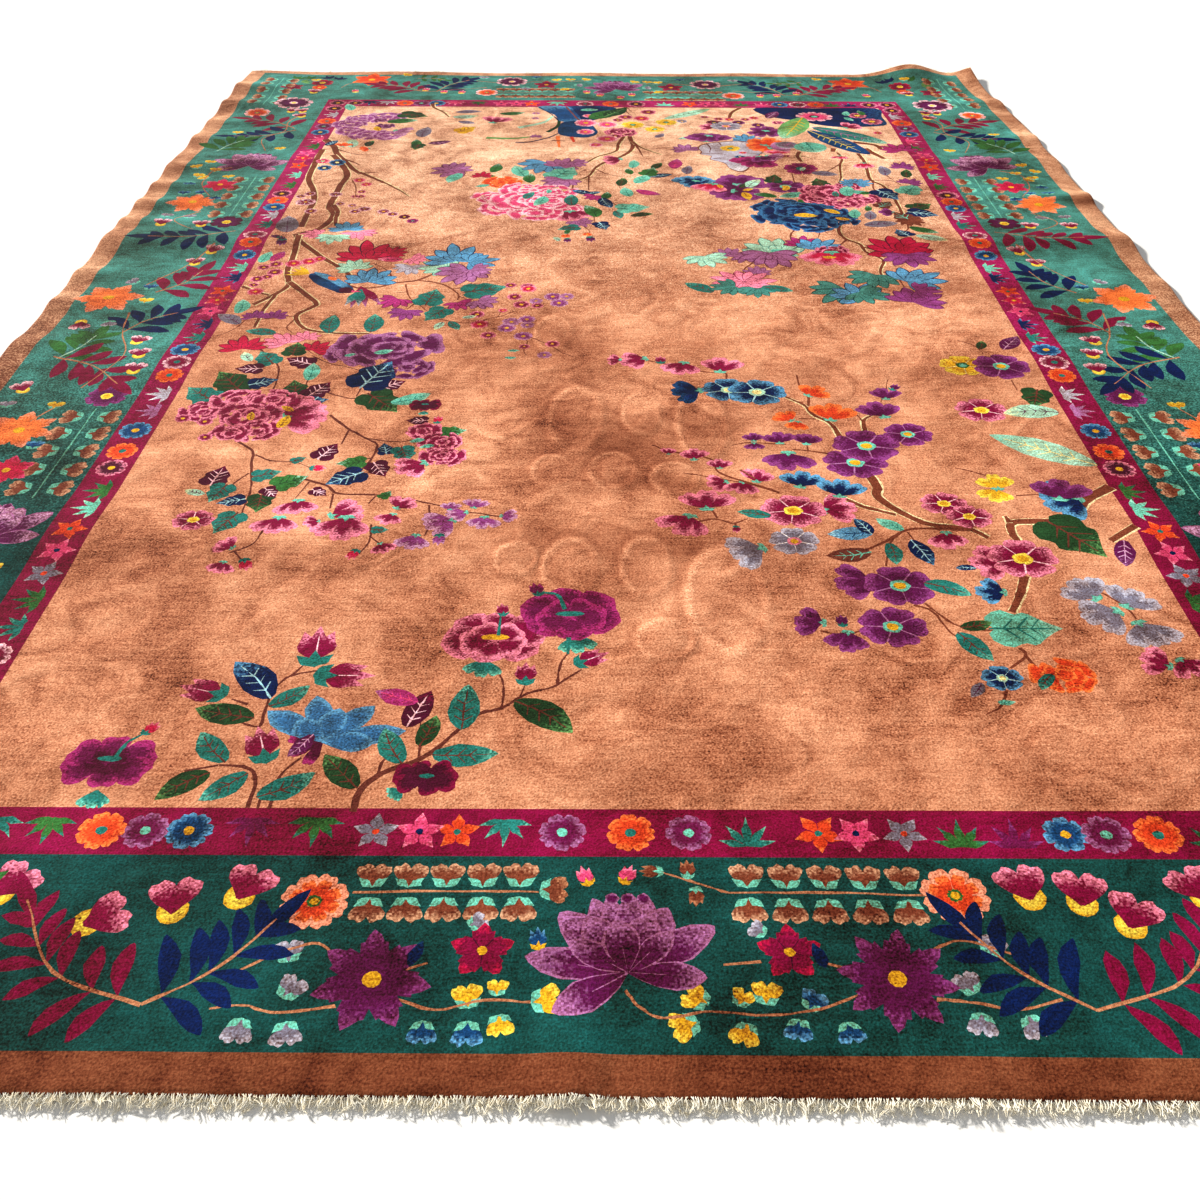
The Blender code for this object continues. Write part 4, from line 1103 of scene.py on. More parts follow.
put_all("""
    20 18 -1030 1270 -1025 1120 -1020 970 -980 850 -960 750 -960 660 -955 530,
    26 16 -1040 1380 -995 1300 -970 1220 -930 1140 -885 1060 -850 1010,
    16 4 -860 1030 -780 950 -710 870 -660 800, 9 3 -990 1280 -930 1230 -885 1200,
    9 3 -940 1160 -890 1120 -870 1100, 8 3 -850 1020 -800 1030, 7 3 -770 930 -740 910,
    22 20 -980 1200 -930 1100 -895 1000 -900 900 -900 800 -900 700 -875 640 -880 570 -900 510 -940 470,
    16 12 -890 720 -866 660 -862 600 -850 540,
    18 12 -958 460 -930 400 -882 340 -832 277 -768 205 -735 140 -738 100,
    18 14 -945 450 -932 300 -928 200 -910 130 -905 90 -925 40 -972 -30,
    18 8 -905 120 -850 45 -803 -20 -812 -50 -840 -95 -822 -150 -785 -187 -700 -205 -630 -205,
    12 8 -925 30 -936 -60 -935 -170, 12 8 -1030 90 -990 60 -940 30, 6 4 -840 -100 -900 -115 -980 -130,
    6 3 -955 470 -880 475 -790 472, 5 3 -970 -130 -985 -180 -1020 -220,
    5 3 -840 -120 -850 -170 -830 -200, 9 8 -740 100 -700 78 -645 88 -610 112 -550 132 -505 180,
    6 3 -622 105 -628 165 -650 210 -690 250, 7 4 -550 132 -486 112 -445 72 -423 30 -423 0,
    5 3 -445 72 -405 90 -395 115, 4 3 -420 25 -390 0 -360 -10,
    6 3 -577 105 -568 60 -552 10 -523 -30 -497 -70, 4 3 -565 55 -597 48, 4 3 -535 -20 -552 -60,
    5 3 -460 -120 -420 -135 -375 -142 -325 -115 -296 -100 -265 -70, 4 2 -305 -105 -298 -60,
    4 2 -360 -140 -360 -170, 4 2 -450 320 -450 260 -440 220,
    4 2 -245 -200 -220 -250 -225 -310 -215 -340, 4 2 -220 -220 -170 -270 -130 -320 -100 -345,
    16 6 -700 1830 -690 1780 -650 1720 -620 1650, 6 3 -665 1740 -620 1720,
    5 3 -870 950 -845 880 -835 810
""", "cocoa", "cream", """
    leaf grey -1000 550 150 100, maple blue -815 535 105 100, maple rose -910 465 85 180,
    maple rose -760 455 100 290, maple mint -840 420 95 268, maple garnet -720 340 170 95,
    maple garnet -633 338 80 40, leaf rose -645 281 75 178, maple rose -565 278 75 330,
    maple mint -750 240 100 115, maple blue -680 165 140 85, maple grey -582 205 90 265,
    maple mint -510 240 120 150, leaf mint -460 225 60 10, maple blue -465 320 165 100,
    maple blue -378 270 120 15, maple lilac -445 165 145 228, maple lilac -378 195 90 330,
    ivy teal -352 70 130 20, ivy teal -497 20 110 80, ivy teal -472 -90 95 240,
    maple magenta -600 -18 90 240, maple magenta -408 -35 75 300, maple lilac -345 -22 90 320,
    maple purple -557 -92 85 260, leaf teal -415 -158 60 300, leaf pale -455 -160 50 250,
    leaf teal -736 -148 110 92, leaf teal -630 -143 110 92, maple purple -952 -90 65 100,
    maple purple -893 -90 65 80, leaf teal -912 -198 85 170, leaf mint -1003 -40 90 95,
    leaf grey -1015 -120 95 140, leaf mint -1010 295 80 80, leaf magenta -975 300 75 70,
    bud purple -1010 435 40 150, bud purple -985 395 50 270, bud purple -990 420 30,
    plum pink -970 245 50, plum pink -1000 222 45, plum pink -960 187 55, plum rose -920 250 60,
    plum rose -878 265 60, plum rose -852 283 45, plum pink -1000 140 50, plum pink -975 155 40,
    plum rose -985 55 55, plum pink -1000 100 35, plum pink -285 98 40, plum pink -238 90 50,
    plum rose -235 75 55, plum pink -270 22 50, plum pink -248 -28 55, plum mauve -165 23 60,
    plum lilac -128 25 50, plum mauve -147 -18 60, plum lilac -210 -5 45, plum pink -205 -35 40,
    plum pink -362 -90 50, plum rose -350 -150 60, plum pink -322 -215 50, plum lilac -268 -135 60,
    plum mauve -278 -172 60, plum mauve -228 -120 55, plum mauve -232 -220 60, plum lilac -225 -155 45,
    plum rose -295 -65 30, plum lilac -172 -335 45, plum pink -155 -270 45, plum pink -225 -285 35,
    leaf pale -380 -105 40 20, leaf mint -250 -310 30 0, leaf mint -255 -350 30 0,
    rose snow -985 745 75, plum snow -985 820 45, rose snow -900 815 50, plum snow -952 665 50,
    plum snow -1010 795 40, plum snow -812 662 45, rose snow -785 685 50, plum snow -722 663 50,
    plum snow -690 640 45, plum garnet -650 617 45, plum magenta -620 583 45, plum snow -830 715 35,
    plum snow -870 730 35, plum rose -845 950 50, plum rose -815 910 45, plum pink -820 840 35,
    plum pink -815 797 35, plum pink -835 797 30, rose rose -1002 1132 55, plum blue -950 1120 70,
    plum blue -985 1070 60, leaf navy -1010 1340 70 60, leaf pale -935 1340 100 100,
    leaf green -870 1335 70 80, half orange -965 1320 55, half orange -880 1275 50 200,
    leaf grass -702 1345 80 100, ivy green -697 1300 70 265, leaf purple -622 1352 85 20,
    peony lilac -860 1645 160 70, peony lilac -945 1630 130 60, peony lilac -980 1560 130,
    peony lilac -970 1480 130, peony lilac -900 1440 150, peony lilac -820 1430 140,
    half lilac -775 1480 90 340, peony purple -845 1540 70, peony purple -875 1610 60,
    leaf lemon -870 1510 60 110, leaf grass -790 1600 120 10, ivy green -755 1675 120 340,
    leaf grey -690 1470 120 85, ivy lemon -540 1500 90 40, half pink -440 1610 110 75,
    leaf pale -555 1655 100 10, leaf grass -380 1700 100 12, leaf grey -550 1720 100 5,
    leaf grey -545 1580 70 340, leaf mint -1020 1780 90 110, plum lilac -290 1700 40,
    plum lilac -290 1630 35
""")

# ---- The far middle cluster ------------------------------------------------------------
# A pink peony hangs in the middle of the far end under a crowd of leaves, on thin roots
# that come down from the stripe.

put_all("""
    14 8 40 1430 20 1340 10 1260 -50 1200 -90 1130,
    16 8 60 1430 70 1300 30 1200 -30 1130 -60 1080 -80 1000 -130 940, 7 4 -130 940 -135 820 -135 700,
    6 3 -60 1070 -20 1020 30 990, 6 3 -80 1000 -80 860, 14 4 70 1370 100 1300 170 1220,
    9 4 80 1340 95 1260 105 1200, 6 3 -90 1060 -110 1040, 4 3 0 740 20 700 20 630, 4 3 -60 630 -58 580,
    4 2 -90 540 -75 510 -70 470, 4 2 -130 510 -140 460, 4 2 30 980 20 900 30 860, 4 2 -280 950 -270 920
""", "cocoa", "cream", """
    maple lilac -570 1035 130 200, maple lilac -530 1085 120 60, leaf mint -530 975 100 250,
    leaf grass -400 1075 90 80, maple garnet -440 1010 70, leaf mint -315 1045 120 110,
    maple blue -245 1080 160 250, maple lilac -165 1130 120 70, maple lilac -115 1120 80 330,
    ivy mint -165 1030 140 60, leaf grass -275 975 90, leaf grass -400 990 30 300,
    peony orange -370 930 140, leaf mint -430 900 50 200, maple lilac -180 925 130 250,
    peony rosy -390 790 130, peony rosy -150 680 130 300, half pink -130 630 120 280,
    peony rosy -290 860 160, peony rosy -200 850 160, peony rosy -350 700 160, peony rosy -240 660 180,
    peony rosy -280 770 240, peony rosy -200 760 180, leaf teal -270 810 70 70,
    leaf mint -235 760 90 250, leaf mint -210 850 40, leaf teal -132 770 100 92,
    leaf navy -100 840 80 150, leaf navy -65 830 60 30, maple magenta -65 790 70 250,
    leaf grass -25 810 70 80, leaf navy -20 745 95 290, leaf grass -70 670 110 110,
    maple lilac -97 565 80 300, ivy teal -137 525 70 200, ivy navy -33 545 70 290,
    leaf grass -140 490 40 260, plum orange -143 455 35, bud purple -137 420 35 270,
    plum orange -78 470 35, bud purple -68 430 45 280, leaf pale -170 430 40 120,
    leaf teal 15 640 70 285, leaf green 90 638 75 15, ivy mint 65 700 110 10, leaf mint 45 845 90 100,
    leaf magenta 115 842 90 330, leaf mint 100 970 100 60, leaf green 30 940 80 80,
    leaf navy 160 1005 85 20, leaf grass 55 1045 60 100, leaf mint 70 1120 80 85,
    leaf green 150 1100 70 60, ivy grass 125 1045 85 70, leaf magenta 215 1120 100 80,
    leaf grey 255 1060 80 80, half pink 0 1160 90 200
""")

# ---- The upper right flowers -----------------------------------------------------------
# Purple flowers and a pink and a blue peony hang from the right stripe. Maple sprays
# trail from the blue one, and thick stems come down beside them.

put_all("""
    12 8 690 560 680 490 690 430 725 390 735 340 775 280 755 210 750 150, 8 5 730 370 770 352 820 350,
    6 4 760 190 790 170 800 90, 7 4 690 420 665 380, 8 4 550 520 530 460 530 420, 6 3 630 520 645 480,
    6 3 625 500 610 440, 6 3 540 400 540 340 500 320 420 325 340 305, 6 3 400 260 370 210 365 160,
    5 3 700 160 670 100, 13 10 855 1240 860 1120 855 970 885 910 900 800 900 640,
    8 4 900 600 895 530 870 480, 7 4 860 965 920 960 945 920,
    10 6 785 1250 790 1170 770 1090 760 990 738 920, 7 4 775 1110 720 1040, 8 4 860 950 850 880 870 850,
    6 3 910 1030 930 960, 5 3 600 1020 600 940, 16 12 655 1260 640 1200 645 1130,
    10 5 650 1200 680 1180, 16 10 500 1790 460 1730 440 1650, 20 16 860 1370 930 1340 945 1290,
    24 18 890 1300 910 1240 935 1170, 20 14 780 1300 770 1260, 5 3 50 1800 60 1720 75 1680,
    5 3 60 1800 80 1720
""", "cocoa", "cream", """
    half purple 410 930 170 120, half purple 440 950 140 50, half purple 400 820 150 250,
    half purple 430 850 120 350, leaf green 435 910 60 50, leaf pale 465 930 90 60,
    leaf lemon 430 810 70 280, leaf lemon 440 870 40 30, rose purple 565 900 150,
    leaf lemon 565 885 50 70, rose magenta 635 1065 130, leaf pale 642 1060 35 60,
    leaf grass 610 760 100 250, leaf mint 580 820 100 200, leaf grass 490 815 80 160,
    ivy green 535 975 80 80, ivy green 682 943 80 100, leaf grey 710 1020 90 350,
    peony pink 670 870 130, peony pink 770 900 100, peony pink 800 780 120, peony pink 660 790 130,
    peony pink 730 750 130, peony pink 710 840 180, leaf teal 720 830 50, leaf mint 765 860 100 80,
    leaf mint 800 850 70 350, leaf grass 820 840 50 20, maple blue 770 943 70 150,
    maple blue 825 943 80 30, peony blue 530 720 170, peony blue 470 700 80 180, peony blue 660 660 160,
    peony blue 520 630 170, peony blue 700 600 120 0, peony blue 600 570 180 270,
    peony blue 580 660 220, leaf lemon 600 635 75 355, leaf lemon 685 670 60 320,
    leaf lemon 710 610 50 340, half blue 265 960 120, half blue 265 925 90 250,
    half rose 320 890 110 250, leaf lemon 350 900 40 280, maple mint 455 380 170 110,
    leaf mint 500 330 90 330, maple lilac 335 335 90, maple lilac 375 290 90 250,
    maple lilac 455 280 160 268, maple mint 275 270 120 290, maple lilac 405 205 75,
    maple magenta 560 415 100 80, maple blue 615 385 130 50, maple rose 320 140 130 160,
    maple rose 405 130 130 10, leaf teal 235 85 100 140, maple teal 305 80 100 200,
    maple teal 395 50 90 268, leaf teal 450 75 90 340, peony pink 600 310 90, peony pink 640 335 110,
    half rose 635 290 140 270, leaf lemon 625 302 40 0, maple garnet 830 390 180 95,
    maple garnet 880 340 120 320, maple purple 850 275 140 270, maple teal 720 130 140 250,
    maple teal 600 40 150 230, maple blue 660 60 150 110, maple teal 700 30 120 320,
    maple blue 860 150 160 30, maple purple 830 30 150 60, maple purple 860 60 100 350,
    ivy green 970 720 90 30, ivy brown 860 735 75 50, half purple 855 665 65 180,
    ivy navy 965 655 100 340, ivy brown 900 625 100 120, maple brown 920 580 80 300,
    leaf grey 820 565 110 10, leaf grass 940 510 100 320, ivy navy 870 485 75 110,
    leaf pale 945 435 100 330, leaf mint 755 655 80 80, leaf grey 800 640 80 80,
    leaf grass 800 700 50 80, ivy navy 885 825 110 300, ivy mint 970 880 110 60,
    maple purple 985 955 80 60, leaf green 985 1030 80 80, maple purple 985 1105 80 80,
    leaf grey 910 1055 90, half rose 785 1185 55 270, half rose 855 1100 70 270,
    maple magenta 1000 1310 120 110, plum pink 140 1730 75, plum rose 110 1645 75, plum pink 50 1660 70,
    plum pink 20 1620 50, rose yellow 75 1565 95, rose yellow 200 1600 90, rose yellow 155 1515 85,
    peony pink 30 1480 120, plum pink 10 1430 60, leaf grey 170 1440 60 60, leaf pale 260 1410 50 20,
    plum grey 260 1615 50, plum pink 350 1670 40, plum pink 400 1645 45, plum rose 440 1640 45,
    plum pink 500 1640 45, plum rose 535 1660 45, plum purple 470 1600 60, plum purple 540 1570 60,
    rose garnet 380 1600 70, half pink 350 1545 80 160, rose grey 420 1555 130,
    half purple 340 1420 140, half purple 330 1410 110 240, maple blue 480 1420 100,
    maple blue 475 1380 80 270, half purple 570 1500 120 60, half purple 550 1470 100 250,
    maple lilac 250 1300 100 110, peony pink 620 1600 50, plum rose 965 1480 40
""")

# ---- The birds and the butterfly -------------------------------------------------------
# A small bird sits among the maple leaves, a blue one with long tail feathers comes down
# from the far stripe, and a pale butterfly rests at the right under long leaves. Behind
# those lies a navy patch with a rose-coloured flower.


def closed(row):
    """A smooth closed outline through a few points."""
    ring = route_of(row)
    return smooth_route(ring[-1:] + ring + ring[:2], 4)[4:-4]


def draw_patches(rows, reach):
    """Smooth closed shapes, each from its dyes at the middle and at the reach, and its points."""
    for row in rows.split(","):
        core, rim, points = row.split(maxsplit=2)
        outline = closed(points)
        draw(outline, core, rim, outline.mean(), reach)


# the small bird, its head to the left
draw_patches("""
    sky royal -860 170 -820 180 -770 140 -720 80 -725 50 -755 50 -800 100,
    royal navy -860 165 -820 155 -770 100 -735 60 -750 45 -790 75 -830 110,
    sky denim -850 190 -800 165 -780 130 -810 140, orange scarlet -800 160 -775 145 -780 130 -800 140,
    maroon navy -755 75 -735 85 -710 60 -725 45 -750 50
""", 0.06)
draw_fan(-0.86 + 0.175j, 155, 0.07, 4, 60, 0.016, "gold", "lemon", form=LEAFLET)
draw_fan(-0.7 + 0.09j, 285, 0.14, 3, 34, 0.03, "garnet", "mauve", form=LEAFLET)
draw_fan(-0.695 + 0.07j, 265, 0.11, 2, 20, 0.03, "teal", "silver", form=LEAFLET)
draw_stem((-0.72 + 0.058j, -0.695 + 0.055j), 0.008, 0.003, "rose")

# the bird with the long tail
draw_patches("""
    navy royal -170 1800 0 1800 20 1720 -20 1660 -90 1600 -120 1620 -140 1700,
    royal sky -285 1795 -170 1800 -140 1720 -120 1620 -150 1585 -200 1600 -220 1680,
    royal navy -190 1580 -120 1600 -80 1560 -55 1470 -90 1415 -150 1420 -200 1460
""", 0.12)
draw_stems("6 6 -175 1800 -150 1700 -125 1610 -90 1580", "cocoa")
draw_stems("6 5 -280 1790 -240 1710 -215 1640 -200 1590", "navy")
draw_stems("12 16 -200 1600 -205 1540 -240 1475", "forest")
draw_stems("10 22 -225 1660 -260 1580 -350 1520", "mint")
draw_stems("10 24 -270 1430 -360 1400 -460 1405", "grass")
draw_stems("6 10 -200 1460 -235 1410 -300 1360 -350 1355", "navy")
draw_stems("16 9 -200 1430 -195 1360 -190 1300", "orange")
draw_stems("14 9 -150 1420 -140 1360", "scarlet")
draw_stems("8 6 -220 1380 -170 1370", "cocoa")
for spot, size in ((-0.1 + 1.58j, 0.085), (-0.02 + 1.565j, 0.075), (-0.1 + 1.48j, 0.065),
                   (-0.02 + 1.4j, 0.08), (-0.06 + 1.33j, 0.05), (-0.09 + 1.67j, 0.045)):
    draw_rosette(spot, size / 2, 5, "rose", "blush", "gold", flat=0.95, fill=1.1)
draw_leaf(-0.085 + 1.63j, 0.03 + 1.76j, 0.085, "leaf", "grass", "forest", pairs=4)
draw_leaf(-0.03 + 1.66j, 0.06 + 1.79j, 0.07, "forest", "leaf", "grass", pairs=4)
put_rows("leaf mint -85 1755 70 5, maple lilac -280 1430 45")

# the butterfly: its wings, their veins and the flowers in them
wing = closed("""
    300 1300 325 1345 400 1375 460 1380 510 1340 530 1270 510 1210 500 1145 470 1090 440 1035
    400 1060 380 1120 335 1160 340 1200 305 1225 310 1260
""")
draw(wing, "cocoa")
draw(wing.mean() + (wing - wing.mean()) * 0.955, "silver", "white", wing.mean(), 0.2)
for route in ((0.335 + 1.345j, 0.345 + 1.3j, 0.34 + 1.25j), (0.38 + 1.36j, 0.385 + 1.33j),
              (0.31 + 1.24j, 0.36 + 1.235j, 0.4 + 1.22j), (0.345 + 1.17j, 0.39 + 1.18j),
              (0.5 + 1.215j, 0.52 + 1.235j, 0.545 + 1.22j)):
    draw_stem(route, 0.006, 0.003, "bark" if route[0].real < 0.45 else "sky")
put_rows("""
    rose yellow 415 1295 80, half orange 520 1320 120 200, half orange 560 1365 120 60,
    plum rose 455 1245 35, half rose 575 1250 80 80, plum blue 440 1190 45, half magenta 485 1150 130,
    half magenta 490 1120 120 250, plum pink 600 1200 40, half lilac 585 1310 100 20,
    half lilac 560 1190 90 340, half purple 520 1170 90 300
""")

# the navy patch, its flowers and the long leaves before it
navy_patch = closed("""
    560 1790 780 1790 1020 1790 1020 1680 1015 1580 930 1555 840 1550 770 1575 700 1620 630 1655
    575 1700
""")
draw(navy_patch, "navy", "denim", 0.6 + 1.75j, 0.6)
draw_rosette(0.765 + 1.68j, 0.07, 9, "rose", "blush", "aqua", "maroon", flat=0.85)
put_rows("""
    rose pink 930 1695 80, rose pink 970 1620 90, half pink 880 1560 90 40, leaf mint 895 1720 60 80,
    leaf grass 950 1730 60 100, leaf mint 890 1650 50 300, leaf purple 610 1700 100 60
""")
for base, tip, width, core, rim, vein, pairs in (
        (0.64 + 1.37j, 0.6 + 1.3j, 0.09, "slate", "silver", "mauve", 3),
        (0.69 + 1.37j, 0.71 + 1.25j, 0.12, "aqua", "mint", "teal", 3),
        (0.735 + 1.55j, 0.98 + 1.355j, 0.09, "teal", "mint", "mauve", 6),
        (0.715 + 1.51j, 0.895 + 1.225j, 0.095, "royal", "navy", "lemon", 6),
        (0.72 + 1.67j, 0.615 + 1.41j, 0.105, "grass", "mint", "gold", 5),
        (0.195 + 1.64j, 0.38 + 1.775j, 0.055, "mint", "grass", "leaf", 5)):
    draw_leaf(base, tip, width, core, rim, vein, pairs, widest=0.5, blunt=0.6)


# ---- The pile --------------------------------------------------------------------------
# The clipped face of the rug, in seven pieces that meet edge to edge, so that each
# holds the finest detail. Knots are about 3 mm, seen as grain and as the broken edge of
# each shading. The pile leans towards the near end and shows as nap.

PILE_TOP = 0.012             # above the underside
PILE_BOTTOM = 0.0038
PILE_PITCH = 0.02            # of the points that follow the folds
EDGE_ROUNDING, EDGE_REACH = 0.003, 0.004
FOLD_SHADE = 1.3             # painted shade and light: wool is drawn darker on slopes facing the near end, lighter on those facing the far end
KNOT = 0.0034
PLAIN_LIGHT = 0.92           # of wool with no soiling and no painted shade or sheen

pile = Finish("clipped_wool", Roughness=0.95, Specular_IOR_Level=0.1)
flat_spot = pile.attribute("flat", "Vector")
shade = pile.attribute("shade", "Fac")
place = pile.attribute("place", "Vector")
core_dye = pile.attribute("core", "Color")
rim_dye = pile.attribute("rim", "Color")
cell = pile.node("VectorMath", {"operation": "SNAP"}, {0: flat_spot, 1: (KNOT, KNOT, KNOT)})
knot = pile.node("TexWhiteNoise", {"noise_dimensions": "2D"}, {"Vector": pile.scaled(cell, 917.0)})
distance = pile.node("VectorMath", {"operation": "LENGTH"}, {0: place}, "Value")
ragged = pile.noise(flat_spot, 130.0, 1.0)
depth = pile.between(0.56, 1.04, distance + (knot - 0.5) * 0.26 + (ragged - 0.5) * 0.35)
dye = pile.blended(depth, core_dye, rim_dye)
clouds = pile.noise(pile.stretched(flat_spot, 4.0, 3.0), 1.0, 3.0)
nap = pile.node("TexNoise", {}, {"Vector": pile.stretched(flat_spot, 8.0, 7.5), "Scale": 1.0,
                                 "Detail": 5.0, "Roughness": 0.55, "Distortion": 2.2})
rows = pile.noise(pile.stretched(flat_spot, 12.0, 150.0), 1.0, 2.0)
grain = pile.noise(flat_spot, 300.0, 3.0)
light = PLAIN_LIGHT
for unevenness, strength in ((clouds, 1.7), (nap, 1.4), (rows, 0.7), (knot, 0.4), (grain, 2.1)):
    light = light + (unevenness - 0.5) * strength
# the shade attribute holds soiling together with painted shade, painted sheen and painted print light
light = light * shade
tint = pile.node("CombineXYZ", {}, {0: light, 1: light.math("POWER", light, 1.4),
                                   2: light.math("POWER", light, 1.6)})
pile.feed("Base Color", pile.node("VectorMath", {"operation": "MULTIPLY"}, {0: dye, 1: tint}))
dents = pile.noise(flat_spot, 9.0, 2.0)
pile.bump(grain * 0.0012 + knot * 0.0004 + nap * 0.0030 + dents * 0.010, 1.0, 1.0)

# tone below 0: soiled wool, and painted shade in the folds and edge ripples; tone above 0: painted sheen
# on the nap
SoilShadeSheen = namedtuple("SoilShadeSheen", "across along reach_across reach_along tone")
SOIL_SHADE_SHEEN = [SoilShadeSheen(*row) for row in (
    (-0.13, -0.28, 0.14, 0.11, -0.36), (0.22, -0.28, 0.06, 0.07, -0.26),
    (-0.34, -0.30, 0.09, 0.07, -0.22), (0.03, -0.77, 0.13, 0.14, -0.40),
    (0.23, -0.68, 0.07, 0.08, -0.24), (-0.11, -0.64, 0.06, 0.10, -0.22),
    (0.22, -0.95, 0.12, 0.05, -0.20), (-0.04, -1.11, 0.22, 0.05, -0.28),
    (0.03, -1.26, 0.18, 0.08, -0.18), (0.56, -1.20, 0.09, 0.10, -0.22),
    (0.72, -1.42, 0.14, 0.07, -0.16), (-0.60, -1.66, 0.20, 0.12, -0.16),
    (0.35, -1.73, 0.60, 0.09, -0.14), (-0.92, 0.02, 0.13, 0.25, -0.20),
    (-0.93, 0.55, 0.18, 0.035, -0.34), (-0.84, 0.37, 0.10, 0.06, -0.28),
    (-0.88, 1.05, 0.07, 0.20, -0.18), (0.86, 0.08, 0.24, 0.05, -0.36),
    (0.90, 0.42, 0.16, 0.10, -0.26), (0.52, 0.26, 0.10, 0.05, -0.22),
    (0.30, 0.76, 0.06, 0.12, -0.22), (-0.09, 1.37, 0.17, 0.05, -0.30),
    (0.38, 1.32, 0.08, 0.08, -0.22), (0.82, 1.44, 0.14, 0.07, -0.20),
    (-1.30, 0.47, 0.22, 0.06, -0.40), (1.28, 0.50, 0.22, 0.07, -0.34),
    (-0.96, 0.12, 0.08, 0.06, 0.24), (0.05, -0.53, 0.09, 0.07, 0.22),
    (-0.33, -0.74, 0.10, 0.22, 0.20), (-0.50, -0.88, 0.20, 0.08, 0.14),
    (0.28, 1.58, 0.16, 0.16, 0.16), (0.85, 1.12, 0.16, 0.12, 0.12), (0.80, -0.15, 0.22, 0.10, 0.12),
    (0.15, 0.10, 0.55, 0.30, 0.06), (1.45, 1.68, 0.10, 0.05, -0.34),
    (1.50, 0.76, 0.10, 0.05, -0.36), (1.50, 0.41, 0.06, 0.04, -0.24),
    (1.48, 1.17, 0.08, 0.05, 0.16), (1.49, 0.56, 0.08, 0.05, 0.16), (1.49, 1.46, 0.07, 0.07, 0.16),
    (0.15, -0.92, 0.22, 0.03, -0.20), (0.18, -1.16, 0.24, 0.03, -0.22),
    (-0.88, -0.79, 0.16, 0.022, 0.22), (-0.86, -0.84, 0.16, 0.03, -0.14),
    (-0.43, -0.90, 0.05, 0.06, 0.20), (0.845, 0.45, 0.03, 0.34, -0.12),
    (-0.30, -0.14, 0.20, 0.03, -0.16), (1.27, 0.02, 0.16, 0.04, -0.20),
    (-1.05, -0.55, 0.20, 0.05, 0.16), (-0.75, 0.55, 0.30, 0.03, -0.16),
)]


def tone_of(flat):
    """How much lighter or darker the wool is drawn: painted shade and light on the folds' slopes, soiled
    patches, painted shade and sheen, and painted light round the old prints.
    """
    # painted shade: slopes turned away from the sun at the far end are drawn darker, those turned towards
    # it lighter
    slope = (lift(flat.real, flat.imag + 0.01) - lift(flat.real, flat.imag - 0.01)) / 0.02
    tone = 1.0 - FOLD_SHADE * slope
    for soil_shade_sheen in SOIL_SHADE_SHEEN:
        tone += soil_shade_sheen.tone * (bell(flat.real - soil_shade_sheen.across, soil_shade_sheen.reach_across)
                               * bell(flat.imag - soil_shade_sheen.along, soil_shade_sheen.reach_along))
    for print_ in PRINTS:
        offset = (flat.real - print_.across) / print_.reach_across + 1j * (
            flat.imag - print_.along) / print_.reach_along
        away = np.abs(offset)
        # painted light and shade: a rim shining at its far left with a painted shadow at its foot, a dome
        # lit at its far side and shaded at its near left
        to_left = 0.5 - 0.5 * (offset * toward(35)).real / np.maximum(away, 0.3)
        tone += 0.46 * to_left * bell(away - 1.0, 0.09) - 0.16 * to_left * bell(away - 1.27, 0.16)
        tone += 0.12 * bell(np.abs(offset - 0.4j), 0.5) - 0.10 * bell(np.abs(offset + 0.45 + 0.2j), 0.4)
    return tone


Print = namedtuple("Print", "across along reach_across reach_along")
PRINTS = [Print(*row) for row in (
    (-0.157, -0.205, 0.045, 0.10), (-0.085, -0.65, 0.060, 0.14), (0.063, -0.63, 0.042, 0.09),
    (0.199, -0.68, 0.055, 0.14), (-0.13, -0.87, 0.042, 0.06), (0.0, -0.87, 0.050, 0.07),
    (0.13, -0.90, 0.048, 0.06), (-0.079, -1.22, 0.052, 0.09), (0.065, -1.215, 0.046, 0.09),
    (0.212, -1.31, 0.072, 0.15), (-0.185, -1.19, 0.040, 0.05), (0.097, -1.43, 0.050, 0.055),
)]
PRINT_RIM, PRINT_DOME = 0.0018, 0.0012
PRINT_PITCH = 0.0075


def pile_height(flat):
    """The clipped surface over the underside: rounded at the rug's edges, with old prints in it."""
    to_edge = np.minimum(WIDTH / 2 - np.abs(flat.real), LENGTH / 2 - np.abs(flat.imag))
    height = PILE_TOP - EDGE_ROUNDING * np.exp(-to_edge / EDGE_REACH)
    for print_ in PRINTS:
        away = np.hypot((flat.real - print_.across) / print_.reach_across,
                        (flat.imag - print_.along) / print_.reach_along)
        height += PRINT_RIM * bell(away - 1.0, 0.13) + PRINT_DOME * (1.0 - smooth_step(0.5, 1.0, away))
    return height


LENGTH_GAP = 0.01            # between the lengths that a piece's face is laid out in
FACE_SHARE = 0.985           # of the layout's height
STRIP_START, STRIP_SHARE = 0.992, 0.004

PilePiece = namedtuple("PilePiece", "name left right near far lengths")
third = 2 * field_half / 3
PILE_PIECES = (
    PilePiece("pile_side_left", -WIDTH / 2, -field_half, -LENGTH / 2, LENGTH / 2, 3),
    PilePiece("pile_side_right", field_half, WIDTH / 2, -LENGTH / 2, LENGTH / 2, 3),
    PilePiece("pile_end_near", -field_half, field_half, -LENGTH / 2, band_near, 2),
    PilePiece("pile_end_far", -field_half, field_half, band_far, LENGTH / 2, 2),
    PilePiece("pile_field_left", -field_half, -field_half + third, band_near, band_far, 2),
    PilePiece("pile_field_middle", -field_half + third, field_half - third, band_near, band_far, 2),
    PilePiece("pile_field_right", field_half - third, field_half, band_near, band_far, 2),
)
dye_names = sorted(DYES)
dye_values = np.array([dyed(*DYES[name]) for name in dye_names])
boxes = np.array([(s.outline.real.min(), s.outline.real.max(), s.outline.imag.min(), s.outline.imag.max())
                  for s in design])


